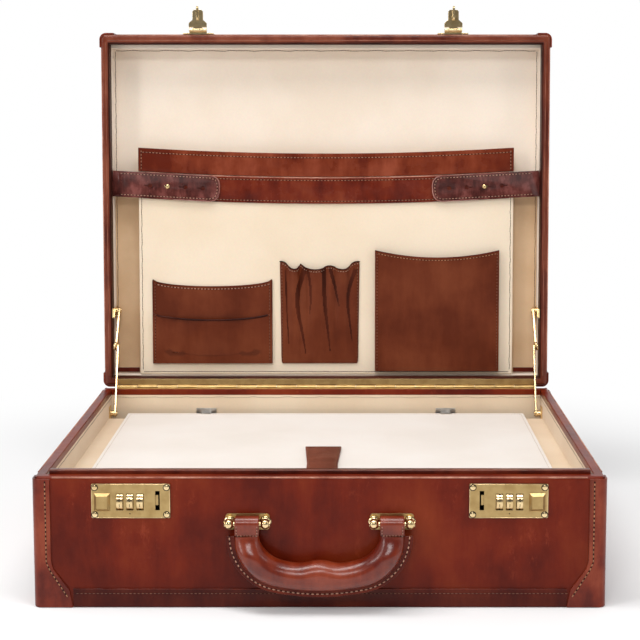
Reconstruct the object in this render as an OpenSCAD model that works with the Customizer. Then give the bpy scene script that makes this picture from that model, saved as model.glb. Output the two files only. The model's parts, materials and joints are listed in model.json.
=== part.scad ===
// Leather attache case, open, with its two number locks, folding handle, divider and lid organiser.
// Frame: X to the right, Y to the back, Z up. Origin on the floor under the middle of the base.
// The lid's pieces are drawn shut and then swung open about the hinge. Right-hand pieces are
// drawn once and mirrored for the left.

/* [Case] */
// Width of the leather body
body_w = 447; // [430:1:480]
// Depth of the leather body, front to back
body_d = 352; // [340:1:380]
// Height of the base, floor to rim
base_h = 105; // [100:1:125]
// Height of the lid outside, rim to top
lid_h = 36; // [35:1:50]
// How far the lid stands open, degrees
lid_open = 92; // [90:0.5:94]
// Gap between the two rims when the case is shut
lid_gap = 0.4; // [0.3:0.1:0.8]
// Outside radius of the upright corners
corner_r = 5; // [4:0.5:8]

/* [Walls] */
// Thickness of the covering leather
leather_t = 1.6; // [1.2:0.1:2]
// Thickness of the side and back boards
wall_t = 5.5; // [4.5:0.5:7]
// Thickness of the front board, which carries the locks
front_wall_t = 7; // [6:0.5:8]
// Thickness of the bottom board
floor_t = 4; // [3:0.5:6]
// Thickness of the lid's top board
lid_board_t = 2; // [1.5:0.5:3]
// Thickness of the suede lining and of the leather turned down inside the rims
lining_t = 1.2; // [0.8:0.1:1.6]
// Thickness of the padded lining on the floor of the base
floor_pad_t = 2; // [1:0.5:3]
// How far the rim leather turns down inside the base
rim_turn = 5.7; // [5:0.1:8]
// How far the rim leather turns down inside the lid
lid_turn = 14; // [10:1:16]
// Thickness of the padding on the lid's front wall
lid_pad_t = 3.5; // [2:0.5:5]
// Height of the front lip above the rim
lip_up = 3.2; // [2:0.2:4]
// Thickness of the front lip
lip_t = 5.6; // [5:0.2:7]
// Clearance between the lip and the lid's rim
lip_clear = 0.3; // [0.3:0.1:0.6]
// Gap at each end of the front lip
lip_end_gap = 2.2; // [1:0.1:4]

/* [Corner caps, bindings and bottom panel] */
// Thickness of the corner caps
cap_t = 1.5; // [1.2:0.1:2]
// Width of each cap's leg along the wall
cap_leg = 14.4; // [12:0.2:18]
// Width of each cap at the bottom edge
cap_foot = 31; // [26:1:36]
// Height at which a cap starts to flare
cap_flare_z = 37.7; // [34:0.5:45]
// Width of a cap just below its straight leg
cap_shoulder = 16; // [15:0.2:20]
// Height of the point just below the straight leg
cap_shoulder_z = 31.4; // [28:0.2:33]
// Width of a cap low in its flare
cap_knee = 28.4; // [22:0.2:30]
// Height of the point low in the flare
cap_knee_z = 14.6; // [10:0.2:20]
// Height of the caps' underside over the floor
cap_lift = 0.3; // [0.2:0.1:0.5]
// Gap between a cap and the rim plane
cap_gap = 1.6; // [1:0.1:3]
// Thickness of the edge bindings
binding_t = 0.9; // [0.6:0.1:1.1]
// Height of the bottom binding over the floor
binding_h = 15.4; // [12:0.2:18]
// Width of the lid's edge binding
lid_binding_w = 11; // [8:1:14]
// How far the bottom panel is set back from the edge
bottom_inset = 12; // [10:1:16]

/* [Hinge] */
// Length of the piano hinge
hinge_len = 420; // [380:1:426]
// Number of knuckles on the hinge, an odd number
hinge_knuckles = 21; // [11:2:25]
// Radius of the knuckles
knuckle_r = 2.1; // [1.9:0.1:2.3]
// Radius of the hinge pin
hinge_pin_r = 1; // [0.8:0.1:1.1]
// Thickness of the hinge leaves
leaf_t = 0.8; // [0.6:0.1:1]
// Distance from the leaves to the inner edge of the rim
leaf_inset = 1.5; // [1:0.1:2.5]

/* [Fits] */
// Radial clearance of a pin in its hole
pin_clear = 0.05; // [0.02:0.01:0.1]
// Gap between pieces that move past each other
run_gap = 0.3; // [0.3:0.05:0.5]

/* [Locks] */
// Distance of each lock's middle from the side of the case
lock_side = 76; // [72:0.5:83]
// Width of a lock plate
plate_w = 61.9; // [61:0.1:66]
// Height of a lock plate
plate_h = 27.5; // [27:0.1:30]
// Distance of a plate's top edge below the rim
plate_drop = 5.2; // [5:0.1:10]
// Height of a plate's face over the leather
plate_t = 1.5; // [1.4:0.1:1.8]
// Thickness of the sheet that a plate is pressed from
sheet_t = 0.8; // [0.6:0.1:0.9]
// Distance of the plate screws from the plate's edges
screw_inset = 2.9; // [2.7:0.1:3.1]
// Radius of the plate screws' heads
screw_head_r = 2.1; // [1.8:0.1:2.2]
// Height of the plate screws' heads
screw_head_h = 0.7; // [0.5:0.1:1]
// Radius of the plate screws' shanks
screw_r = 1; // [0.8:0.1:1.2]
// Length of the plate screws under the head
screw_len = 8; // [6:0.5:9]
// Depth of a lock case behind the leather's face
case_depth = 14; // [13.6:0.1:14.4]
// Thickness of a lock case's walls
case_t = 1; // [0.8:0.1:1.1]
// Distance from a plate's inboard end to its case
case_in = 5; // [4.6:0.1:5.2]
// Distance from a plate's outboard end to its case
case_out = 4.7; // [4.6:0.1:4.9]
// Distance from a plate's top edge to its case
case_top = 4; // [3.6:0.1:4.4]
// Distance from a plate's bottom edge to its case
case_bottom = 1.5; // [1.2:0.1:1.8]

/* [Dials] */
// Number of dials in each lock
dials = 3; // [3]
// Distance between neighbouring dials
dial_pitch = 7.9; // [7.6:0.1:8.1]
// How far the row of dials sits outboard of the lock's middle
dial_shift = 0.6; // [0.4:0.1:0.8]
// Width of a dial's window
window_w = 5.6; // [5.4:0.1:5.8]
// Height of a dial's window
window_h = 13.3; // [12.8:0.1:13.6]
// Depth of the dial axle behind the plate's face
axle_depth = 4.5; // [4.3:0.1:4.7]
// Distance of the dial axle below a plate's top edge
axle_drop = 14.5; // [14.2:0.1:14.8]
// Radius of the dial axles
axle_r = 1.5; // [1.2:0.1:1.8]
// Thickness of the ribs that hold a dial axle
rib_t = 1; // [0.8:0.1:1]
// Height of the ribs that hold a dial axle
rib_h = 13; // [11:0.5:13.5]

/* [Buttons and bolts] */
// Width of a lock button
button_w = 12.5; // [12:0.1:13]
// Height of a lock button
button_h = 14.3; // [13.6:0.1:14.4]
// Distance of a button's middle from the plate's outboard end
button_out = 8.7; // [8.6:0.1:8.9]
// How far a button stands proud of the plate
button_up = 2.6; // [2:0.1:3]
// Travel of a button, outward
button_travel = 2.5; // [2.4:0.1:2.6]
// Width of the stem behind a button
stem_w = 5; // [4.6:0.1:5.1]
// Set-in of that stem from the button's inboard edge
stem_in = 1; // [0.8:0.1:1.2]
// Height of the stem behind a button
stem_h = 5.4; // [4:0.1:7]
// Height of the bar that runs below the dials
bar_h = 1.9; // [1.5:0.1:2.1]
// Distance of the bar's underside above the plate's bottom edge
bar_up = 3.1; // [2.9:0.1:3.3]
// Thickness of the bolt
bolt_t = 2; // [1.6:0.1:2.2]
// Height of the bolt
bolt_h = 8; // [7:0.2:9]
// Height of the bolt's middle above the dial axle
bolt_rise = 1.2; // [0.8:0.1:1.4]
// How far the bolt reaches across the slot
bolt_reach = 2.2; // [1.9:0.1:2.3]
// Radius of the bolt spring
spring_r = 1; // [0.8:0.1:1]
// Length of the bolt spring
spring_len = 8; // [7.5:0.5:9]

/* [Hasps] */
// Distance of the slot inboard of the lock's middle
slot_in = 21; // [20.8:0.1:21.2]
// Width of the slot in a plate
slot_w = 3.5; // [3.3:0.1:3.7]
// Distance of the slot's top below the plate's top edge
slot_drop = 5.7; // [5.6:0.1:6]
// Height of the slot
slot_h = 15.4; // [15:0.1:16]
// Width of a hasp's hinge plate
hasp_plate_w = 30.5; // [28:0.5:34]
// Height of a hasp's hinge plate
hasp_plate_h = 14; // [12:0.5:18]
// Thickness of a hasp's hinge plate
hasp_plate_t = 1.2; // [1:0.1:1.4]
// Distance of the barrel in front of the caps' face
barrel_out = 2.7; // [2.6:0.1:3]
// Distance of the barrel below the rim plane
barrel_drop = 2; // [1.8:0.1:2.2]
// Radius of the barrel
barrel_r = 2; // [1.9:0.1:2.1]
// Width of the whole barrel
barrel_w = 17.3; // [16:0.1:18.5]
// Width of the hasp's own knuckle
hasp_knuckle_w = 8.7; // [7:0.1:10]
// Radius of the hasp pin
hasp_pin_r = 0.9; // [0.7:0.05:1]
// Thickness of the hasp's sheet
hasp_t = 1.6; // [1.2:0.1:1.8]
// Width of the hasp across its shoulders
hasp_w = 17.9; // [16:0.1:18]
// Width of the hasp's tongue
tongue_w = 10.5; // [9:0.1:11.5]
// Reach of the tongue from the barrel's axis
tongue_reach = 19.5; // [18:0.1:20]
// Reach of the shoulders from the barrel's axis
shoulder_reach = 6.5; // [5:0.1:7]
// Height of the raised flanges on the tongue
flange_up = 1.4; // [1:0.1:2]
// Thickness of the raised flanges
flange_t = 1; // [0.8:0.1:1.2]
// Thickness of the hook
hook_t = 2; // [1.6:0.1:2.2]
// Depth of the hook behind the hasp's sheet
hook_depth = 6; // [5.9:0.1:6.3]
// Depth of the hook at its sloping near edge
hook_heel = 4.8; // [4.6:0.1:5]
// Reach of the hook's tip from the barrel's axis
hook_reach = 22.8; // [22.4:0.1:23]
// Reach of the hook's near edge from the barrel's axis
hook_near = 9.6; // [9.4:0.1:10.5]
// Radius of the rivets in the hinge plates
rivet_r = 1; // [0.8:0.1:1.2]
// Radius of the rivets' heads
rivet_head_r = 1.9; // [1.6:0.1:2.2]
// Height of the rivets' heads
rivet_head_h = 0.7; // [0.5:0.1:1]
// Height of those rivets above the hinge plate's lower edge
rivet_up = 9.4; // [8:0.1:10]
// Distance between a hinge plate's two rivets
rivet_pitch = 21; // [18:0.5:23]

/* [Handle] */
// Distance of each handle bracket from the middle of the case
bracket_x = 56.4; // [50:0.2:62]
// Width of a bracket plate
bracket_w = 34.4; // [34.4:0.1:36]
// Height of a bracket plate
bracket_h = 13; // [12:0.5:16]
// Thickness of a bracket plate
bracket_t = 0.8; // [0.6:0.1:1]
// Distance of the handle pins below the rim
pin_drop = 35.5; // [33:0.5:40]
// Distance of the handle pins in front of the leather
pin_out = 7.6; // [7.5:0.1:8.5]
// Distance between a bracket's two lugs, middle to middle
lug_pitch = 28.2; // [27.4:0.2:28.4]
// Width of a lug
lug_w = 6; // [5:0.2:6]
// Radius of a lug's rounded nose
lug_r = 4; // [3.4:0.1:4.4]
// Radius of the handle pins
handle_pin_r = 2; // [1.6:0.1:2.2]
// Width of the handle's leather loops
loop_w = 19; // [17:0.5:20]
// Outside radius of the handle's leather loops
loop_r = 6.3; // [5:0.1:6.4]
// Thickness of the folded leather below a loop
loop_t = 8.4; // [7:0.2:9]
// Radius of the grip
grip_r = 11.3; // [9:0.1:11.4]
// Distance of the grip's middle in front of the leather
grip_out = 11.8; // [11.8:0.1:13]
// Depth of the grip's lowest centre point below the pins
grip_sag = 40.8; // [38:0.2:46]
// Radius of the bend at each end of the grip
grip_bend = 30; // [26:1:32]
// Radius of the grip's long bow
grip_bow = 160; // [140:5:220]
// Reach of the stitched flange from the grip's centre line
flange_reach = 16; // [14:0.5:18]
// Thickness of the stitched flange
flange_leather = 3.4; // [2.6:0.2:4]
// Radius of the core inside the grip
core_r = 7.5; // [5:0.5:8]
// Distance of a bracket's rivets from its middle
bracket_rivet_x = 7; // [6:0.1:8]
// Radius of the rivets that hold a bracket
bracket_rivet_r = 1.2; // [1:0.1:1.5]

/* [Divider] */
// Depth of the divider's top below the rim
divider_drop = 22.5; // [22:0.5:40]
// Thickness of the divider
divider_t = 3; // [3:0.5:4]
// Gap between the divider and the lining at each side
divider_side = 17.7; // [15:0.5:20]
// Gap between the divider and the back lining
divider_back = 9.2; // [8:0.2:12]
// Gap between the divider and the padded front lining
divider_front = 2.8; // [2:0.2:6]
// Width of the ledges that carry the divider
ledge_w = 22; // [21:0.5:26]
// Thickness of the ledges
ledge_t = 5; // [4:0.5:8]
// Radius of the divider's hinge pins
divider_pin_r = 0.8; // [0.6:0.1:0.9]
// Distance of each divider hinge from the middle
divider_hinge_x = 120; // [80:5:160]
// Width of a divider hinge's lug
divider_lug_w = 10; // [8:1:14]
// Radius of a divider hinge's eye
divider_eye_r = 1.5; // [1.4:0.05:1.5]
// Width of the pull tab at its far end
pull_w = 32.4; // [28:0.2:36]
// Width of the pull tab at its neck
pull_neck = 26.7; // [22:0.2:27]
// Length of the pull tab
pull_len = 86; // [70:1:100]
// Length over which the pull tab narrows
pull_flare = 57; // [40:1:64]
// Thickness of the pull tab
pull_t = 2.2; // [1.6:0.1:2.6]
// Distance of the pull tab's far end from the front of the divider
pull_far = 166; // [150:1:180]

/* [Stays] */
// Distance of the base pivot in front of the hinge
stay_base_y = 24.1; // [23.8:0.1:24.4]
// Distance of the base pivot below the hinge
stay_base_z = 21.9; // [21.7:0.1:22.1]
// Distance of the lid pivot in front of the hinge when shut
stay_lid_y = 74.9; // [74.6:0.1:75.2]
// Distance of the lid pivot above the hinge when shut
stay_lid_z = 24.4; // [24.1:0.1:24.6]
// Length of a stay's arm between its pins
arm_len = 67.7; // [67.5:0.1:67.9]
// Length of a stay's link between its pins
link_len = 41.9; // [41.7:0.1:42.1]
// Thickness of the stay bars
bar_t = 1.5; // [1.2:0.1:1.6]
// Width of the stay bars
bar_w = 7; // [6:0.2:7]
// Radius of the stays' pivot pins
stay_pin_r = 1.5; // [1.2:0.1:1.6]
// Radius of the heads on those pins
stay_head_r = 2.2; // [2:0.05:2.3]
// Radius of the bosses behind the bars
stay_boss_r = 3; // [2.6:0.1:3.2]
// Radius of the elbow pins
elbow_pin_r = 1.2; // [1:0.1:1.2]
// Play of the elbow pin along the link
elbow_play = 0.65; // [0.65:0.05:0.8]
// Play of the elbow pin across the link
elbow_drift = 3.5; // [3.5:0.1:3.8]
// Thickness of the stays' bracket plates
stay_plate_t = 1.5; // [1:0.1:1.6]
// Width of the stays' bracket plates
stay_plate_w = 9; // [8:0.5:12]
// Height of the stays' base brackets
stay_plate_h = 15; // [12:0.5:15.4]
// Distance from a bracket plate to its near bar
boss_len = 1.8; // [1.6:0.1:1.9]
// Distance from the base bracket plate to the arm
arm_boss_len = 3.7; // [3.6:0.1:3.9]

/* [Lid organiser] */
// Gap between the file panel and the lid's lined side walls
panel_side = 25.7; // [23.2:0.1:35]
// Height of the file panel at its middle
panel_h = 223; // [215:1:236]
// Thickness of the file panel
panel_t = 3; // [2:0.5:4]
// Depth of the file space behind the panel
file_depth = 9.7; // [8:0.1:9.8]
// Gap between the panel and the lid's back lining
panel_foot_gap = 0.8; // [0.5:0.1:2]
// Height of the leather band along the panel's top
band_h = 22; // [18:1:28]
// Thickness of the organiser's leather
org_t = 1.6; // [1.2:0.1:1.8]
// Radius of the sag in the panel's top, its band and the strap
sag_r = 3000; // [2600:100:4000]
// Dip of the card and large pockets' mouths below their corners
pocket_sag = 7.5; // [4:0.5:9]
// Distance of the card pocket from the panel's left edge
card_side = 13.5; // [10:0.5:19]
// Gap between the card pocket and the pen pocket
card_gap = 8; // [8:0.5:17]
// Bottom of the card pocket above the hinge
card_s = 22; // [18:1:30]
// Height of the card pocket's back tier
card_h = 86; // [78:1:95]
// Height of the card pocket's front tier
card_front_h = 52; // [40:1:60]
// Left edge of the pen pocket, from the middle
pen_x = -47; // [-50:1:-46]
// Width of the pen pocket
pen_w = 81; // [76:1:86]
// Height of the pen pocket
pen_h = 104; // [90:1:115]
// Depth of the pen pocket in front of the panel
pen_depth = 7; // [6.4:0.1:8]
// Number of pens the pocket holds
pens = 4; // [3:1:5]
// Gap between the pen pocket and the large pocket
large_gap = 15.5; // [10:0.5:18]
// Distance of the large pocket from the panel's right edge
large_side = 14.5; // [12:0.5:30]
// Bottom of the large pocket above the hinge
large_s = 14.6; // [13:0.2:24]
// Height of the large pocket
large_h = 123; // [100:1:130]
// Depth of the large pocket in front of the panel
large_depth = 7; // [6.8:0.1:7.6]
// Height of the strap's lower edge above the hinge at its middle
strap_s = 184.5; // [175:0.5:185]
// Width of the strap
strap_w = 26; // [22:0.5:26.5]
// Gap between the middle strap's ends and the lid's lined side walls
strap_end = 30.2; // [27.2:0.1:40]
// Length of a strap tab from the lid's side wall
tab_len = 108; // [90:1:115]
// Radius of a tab's rounded corners
tab_tip_r = 9.2; // [7:0.1:11]
// Distance of the first hole from the lid's side wall
hole_first = 38; // [34:1:42]
// Distance between a tab's holes
hole_pitch = 17.7; // [16:0.1:19]
// Number of holes in a tab
holes = 4; // [3:1:5]
// Radius of a tab's holes
hole_r = 2.2; // [2:0.1:2.6]
// Radius of a stud's shank
stud_r = 1.8; // [1.4:0.1:1.8]
// Radius of a stud's head
stud_head_r = 4; // [3:0.1:4.4]
// Height of a stud's head
stud_head_h = 1.6; // [1:0.1:2]

/* [Hidden] */
$fn = 48;
eps = 0.01;
sag_fn = 720;
least_r = 0.5;

// Half sizes of the leather body, and the levels of the base
half_w = body_w / 2;
half_d = body_d / 2;
face_y = -half_d;
cap_face_y = face_y - cap_t;
board_z = cap_t + leather_t;
floor_z = board_z + floor_t;
pad_z = floor_z + floor_pad_t;

// Inner faces of the lined walls, shared by base and lid
in_x = half_w - leather_t - wall_t - lining_t;
in_front_y = face_y + leather_t + front_wall_t + lining_t;
in_back_y = half_d - leather_t - wall_t - lining_t;
pad_front_y = in_front_y + lip_clear + lip_t;

// The hinge's axis and the levels of the shut lid
hinge_y = half_d + cap_t;
hinge_z = base_h + lid_gap / 2;
lid_z = base_h + lid_gap;
lid_top = lid_z + lid_h - cap_t;
lid_board_z = lid_top - leather_t - lid_board_t;
lid_in_z = lid_board_z - lining_t;
groove_r = knuckle_r + run_gap;

// Rounded rectangle of the leather body, drawn in by inset
module plan(inset = 0) {
    w = body_w - 2 * inset;
    d = body_d - 2 * inset;
    r = max(corner_r - inset, least_r);
    square([w - 2 * r, d], center = true);
    square([w, d - 2 * r], center = true);
    for (x = [-1, 1], y = [-1, 1])
        translate([x * (w / 2 - r), y * (d / 2 - r)]) circle(r);
}

// Rectangle inside the lined walls, grown by extra
module room(extra = 0) {
    translate([-in_x - extra, in_front_y - extra])
        square([2 * (in_x + extra), in_back_y - in_front_y + 2 * extra]);
}

// Upright prism of a plane shape between two levels
module slab(z0, z1) {
    translate([0, 0, z0]) linear_extrude(z1 - z0) children();
}

// Box given by its low and high corners
module box(low, high) {
    translate(low) cube(high - low);
}

// Round bar along X from x0 to x1 about the axis at y, z
module bar_x(x0, x1, y, z, r) {
    translate([x0, y, z]) rotate([0, 90, 0]) cylinder(h = x1 - x0, r = r);
}

// Round bar along Y from y0 to y1 about the axis at x, z
module bar_y(y0, y1, x, z, r) {
    translate([x, y0, z]) rotate([-90, 0, 0]) cylinder(h = y1 - y0, r = r);
}

// The right-hand piece as drawn, or its mirror image for the left
module on_side(side) {
    if (side > 0) children();
    else mirror([1, 0, 0]) children();
}

module both_sides() {
    for (side = [-1, 1]) on_side(side) children();
}

// Swings the shut lid's pieces open about the hinge
module opened() {
    translate([0, hinge_y, hinge_z]) rotate([-lid_open, 0, 0])
        translate([0, -hinge_y, -hinge_z]) children();
}

// Groove along the back edge of both rims that clears the knuckles
module hinge_groove() {
    bar_x(-hinge_len / 2 - run_gap, hinge_len / 2 + run_gap, hinge_y, hinge_z, groove_r);
}

// Places of the lock pieces, all on the right-hand side
lock_x = half_w - lock_side;
plate_top = base_h - plate_drop;
plate_low = plate_top - plate_h;
plate_in_x = lock_x - plate_w / 2;
plate_out_x = lock_x + plate_w / 2;
plate_face_y = face_y - plate_t;
case_x0 = plate_in_x + case_in;
case_x1 = plate_out_x - case_out;
case_z0 = plate_low + case_bottom;
case_z1 = plate_top - case_top;
case_back_y = face_y + case_depth;
axle_y = plate_face_y + axle_depth;
axle_z = plate_top - axle_drop;
dial_mid = lock_x + dial_shift;
dial_w = window_w - 2 * run_gap;
dial_r = sqrt(pow(window_h / 2 - run_gap, 2) + pow(axle_depth - sheet_t, 2));
rib_x = (dials - 1) / 2 * dial_pitch + dial_w / 2 + run_gap;
button_x = plate_out_x - button_out;
stem_x0 = button_x - button_w / 2 + stem_in;
stem_x1 = stem_x0 + stem_w;
slot_x = lock_x - slot_in;
slot_top = plate_top - slot_drop;
bar_z0 = plate_low + bar_up;
bar_z1 = bar_z0 + bar_h;

// The wall's recess that holds a lock case
module lock_recess() {
    both_sides() box([case_x0, face_y - eps, case_z0], [case_x1, case_back_y, case_z1]);
}

// Places of the four screws of a plate
module at_screws() {
    for (x = [plate_in_x + screw_inset, plate_out_x - screw_inset],
         z = [plate_low + screw_inset, plate_top - screw_inset])
        translate([x, 0, z]) children();
}

module screw_holes() {
    both_sides() at_screws()
        bar_y(plate_face_y - eps, plate_face_y + screw_len, 0, 0, screw_r + pin_clear);
}

// Places of the handle's pieces
pin_y = face_y - pin_out;
pin_z = base_h - pin_drop;
bracket_z0 = pin_z - bracket_h / 2;
grip_y = face_y - grip_out;
grip_z = pin_z - grip_sag;

// Places of a bracket's two rivets, between its lugs
module at_bracket_rivets() {
    for (x = [-1, 1]) translate([bracket_x + x * bracket_rivet_x, 0, pin_z]) children();
}

module bracket_holes() {
    both_sides() at_bracket_rivets()
        bar_y(face_y - bracket_t - eps, face_y + leather_t + front_wall_t + eps,
              0, 0, bracket_rivet_r + pin_clear);
}

// Outline of a corner cap seen square to a wall: width from the corner against height
module cap_outline() {
    polygon([[0, cap_lift], [cap_foot, cap_lift], [cap_knee, cap_knee_z],
             [cap_shoulder, cap_shoulder_z], [cap_leg, cap_flare_z],
             [cap_leg, base_h - cap_gap], [0, base_h - cap_gap]]);
}

// Region near one corner that a cap covers: on the front wall, on the side wall and underneath
module cap_region() {
    translate([half_w + cap_t, 0, 0]) {
        translate([0, face_y + corner_r, 0]) rotate([90, 0, 0])
            linear_extrude(corner_r + cap_t) mirror([1, 0]) cap_outline();
        translate([-corner_r - cap_t, cap_face_y, 0]) rotate([90, 0, 90])
            linear_extrude(corner_r + cap_t) cap_outline();
        translate([-cap_foot, cap_face_y, cap_lift]) cube([cap_foot, cap_foot, cap_t - cap_lift]);
    }
}

module all_cap_regions() {
    for (side = [-1, 1], back = [0, 1]) on_side(side) mirror([0, back, 0]) cap_region();
}

module base_carcass() {
    color("burlywood") difference() {
        slab(board_z, base_h - leather_t) plan(leather_t);
        slab(floor_z, base_h) room(lining_t);
        lock_recess();
        screw_holes();
        bracket_holes();
        hinge_groove();
    }
}

module base_leather() {
    color("#7a3a1e") difference() {
        slab(cap_t, base_h - leather_t) plan();
        slab(board_z, base_h) plan(leather_t);
        lock_recess();
        screw_holes();
        bracket_holes();
        hinge_groove();
    }
}

module base_bottom_panel() {
    color("#6b3019") difference() {
        slab(0, cap_t) square([body_w - 2 * bottom_inset, body_d - 2 * bottom_inset], center = true);
        for (x = [-1, 1], y = [-1, 1])
            translate([x * (half_w + cap_t), y * (half_d + cap_t), cap_t / 2])
                cube([2 * (cap_foot + run_gap), 2 * (cap_foot + run_gap), 2 * cap_t], center = true);
    }
}

module base_edge_binding() {
    color("#5f2a17") difference() {
        slab(cap_t - binding_t, binding_h) plan(-binding_t);
        slab(cap_t, base_h) plan();
        slab(-eps, base_h) square([body_w - 2 * bottom_inset, body_d - 2 * bottom_inset], center = true);
        for (x = [-1, 1], y = [-1, 1])
            translate([x * (half_w + cap_t), y * (half_d + cap_t), base_h / 2])
                cube([2 * (cap_foot + run_gap), 2 * (cap_foot + run_gap), 2 * base_h], center = true);
    }
}

module base_corner_caps() {
    color("#5f2a17") difference() {
        intersection() {
            slab(0, base_h) plan(-cap_t);
            all_cap_regions();
        }
        slab(cap_t, base_h) plan();
    }
}

module base_rim() {
    color("#6b3019") difference() {
        union() {
            slab(base_h - leather_t, base_h) plan();
            slab(base_h - rim_turn, base_h - leather_t) room(lining_t);
        }
        slab(0, base_h + eps) room();
        hinge_groove();
        leaf_recess(base_h - leaf_t, base_h + eps);
    }
}

module base_front_lip() {
    color("#6b3019") box([-in_x + lip_end_gap, in_front_y + lip_clear, base_h - rim_turn],
                         [in_x - lip_end_gap, pad_front_y, base_h + lip_up]);
}

module base_wall_lining() {
    color("#e0cfae") difference() {
        union() {
            difference() {
                slab(floor_z, base_h - rim_turn) room(lining_t);
                slab(0, base_h) room();
            }
            box([-in_x, in_front_y, floor_z], [in_x, pad_front_y, base_h - rim_turn]);
        }
        lock_recess();
    }
}

module base_floor_lining() {
    color("#e0cfae") box([-in_x, pad_front_y, floor_z], [in_x, in_back_y, pad_z]);
}

// Recess for a hinge leaf in the rim leather
module leaf_recess(z0, z1) {
    box([-hinge_len / 2 - run_gap, in_back_y + leaf_inset, z0],
        [hinge_len / 2 + run_gap, half_d + eps, z1]);
}

// A hinge leaf and its knuckles: every second one, counted from first
module hinge_leaf(z0, first) {
    pitch = hinge_len / hinge_knuckles;
    difference() {
        union() {
            box([-hinge_len / 2, in_back_y + leaf_inset, z0],
                [hinge_len / 2, hinge_y - groove_r, z0 + leaf_t]);
            for (i = [first:2:hinge_knuckles - 1]) {
                x0 = -hinge_len / 2 + i * pitch + run_gap / 2;
                x1 = x0 + pitch - run_gap;
                box([x0, hinge_y - groove_r - eps, z0], [x1, hinge_y - hinge_pin_r, z0 + leaf_t]);
                bar_x(x0, x1, hinge_y, hinge_z, knuckle_r);
            }
        }
        bar_x(-hinge_len, hinge_len, hinge_y, hinge_z, hinge_pin_r + pin_clear);
    }
}

module hinge_base_leaf() {
    color("#c9a45c") hinge_leaf(base_h - leaf_t, 0);
}

module hinge_pin() {
    color("#c9a45c") bar_x(-hinge_len / 2, hinge_len / 2, hinge_y, hinge_z, hinge_pin_r);
}

// Ledges along both sides and the front, below the divider
module divider_ledges() {
    top = base_h - divider_drop - divider_t - run_gap;
    reach_y = stay_base_front - run_gap;
    color("#d8c7a4") {
        both_sides() box([in_x - ledge_w, pad_front_y + ledge_w, top - ledge_t], [in_x, reach_y, top]);
        box([-in_x, pad_front_y, top - ledge_t], [in_x, pad_front_y + ledge_w - run_gap, top]);
    }
}

// The divider's axis lies in the middle of its thickness, near its back edge
divider_x = in_x - divider_side;
divider_y0 = pad_front_y + divider_front;
divider_y1 = in_back_y - divider_back;
divider_top = base_h - divider_drop;
divider_axis_y = divider_y1 - divider_t / 2;
divider_axis_z = divider_top - divider_t / 2;
divider_slot_w = divider_lug_w + 2 * run_gap;

module divider_hinge_lugs() {
    color("#c9a45c") for (x = [-1, 1]) difference() {
        union() {
            bar_x(x * divider_hinge_x - divider_lug_w / 2, x * divider_hinge_x + divider_lug_w / 2,
                  divider_axis_y, divider_axis_z, divider_eye_r);
            box([x * divider_hinge_x - divider_lug_w / 2, divider_axis_y + divider_pin_r,
                 divider_axis_z - divider_eye_r / 2],
                [x * divider_hinge_x + divider_lug_w / 2, in_back_y, divider_axis_z + divider_eye_r / 2]);
            box([x * divider_hinge_x - divider_lug_w, in_back_y - leaf_t, divider_axis_z - divider_lug_w / 2],
                [x * divider_hinge_x + divider_lug_w, in_back_y, divider_axis_z + divider_lug_w / 2]);
        }
        bar_x(-half_w, half_w, divider_axis_y, divider_axis_z, divider_pin_r + pin_clear);
    }
}

module divider() {
    color("#f1ece0") difference() {
        box([-divider_x, divider_y0, divider_top - divider_t], [divider_x, divider_y1, divider_top]);
        for (x = [-1, 1])
            box([x * divider_hinge_x - divider_slot_w / 2, divider_axis_y - divider_t, 0],
                [x * divider_hinge_x + divider_slot_w / 2, half_d, base_h]);
    }
    color("#c9a45c") for (x = [-1, 1])
        bar_x(x * divider_hinge_x - divider_slot_w / 2, x * divider_hinge_x + divider_slot_w / 2,
              divider_axis_y, divider_axis_z, divider_pin_r);
}

module divider_pull_tab() {
    far_y = divider_y0 + pull_far;
    color("#7a3a1e") slab(divider_top, divider_top + pull_t)
        polygon([[-pull_w / 2, far_y], [pull_w / 2, far_y],
                 [pull_neck / 2, far_y - pull_flare], [pull_neck / 2, far_y - pull_len],
                 [-pull_neck / 2, far_y - pull_len], [-pull_neck / 2, far_y - pull_flare]]);
}

// Openings of a lock plate: the slot, the dials' windows and the way for the button's stem
module plate_openings() {
    box([slot_x - slot_w / 2, cap_face_y - plate_t, slot_top - slot_h],
        [slot_x + slot_w / 2, face_y + eps, slot_top]);
    for (i = [0:dials - 1]) translate([dial_mid + (i - (dials - 1) / 2) * dial_pitch, 0, axle_z])
        box([-window_w / 2, cap_face_y - plate_t, -window_h / 2], [window_w / 2, face_y + eps, window_h / 2]);
    box([stem_x0 - run_gap, cap_face_y - plate_t, axle_z - stem_h / 2 - run_gap],
        [stem_x1 + button_travel + run_gap, face_y + eps, axle_z + stem_h / 2 + run_gap]);
}

module lock_plates() {
    color("#d1aa60") both_sides() difference() {
        box([plate_in_x, plate_face_y, plate_low], [plate_out_x, face_y, plate_top]);
        box([plate_in_x + sheet_t, plate_face_y + sheet_t, plate_low + sheet_t],
            [plate_out_x - sheet_t, face_y + eps, plate_top - sheet_t]);
        plate_openings();
        at_screws() bar_y(plate_face_y - eps, face_y, 0, 0, screw_r + pin_clear);
    }
}

// The bolt's middle and front face, and the back of the slider
bolt_z = axle_z + bolt_rise;
bolt_y0 = plate_face_y + sheet_t + 2 * run_gap;
stem_y1 = bolt_y0 + bolt_t;

// Upright rib that holds one end of a dial axle
module axle_rib(x) {
    box([x, face_y, axle_z - rib_h / 2], [x + rib_t, case_back_y - case_t, axle_z + rib_h / 2]);
}

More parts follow.
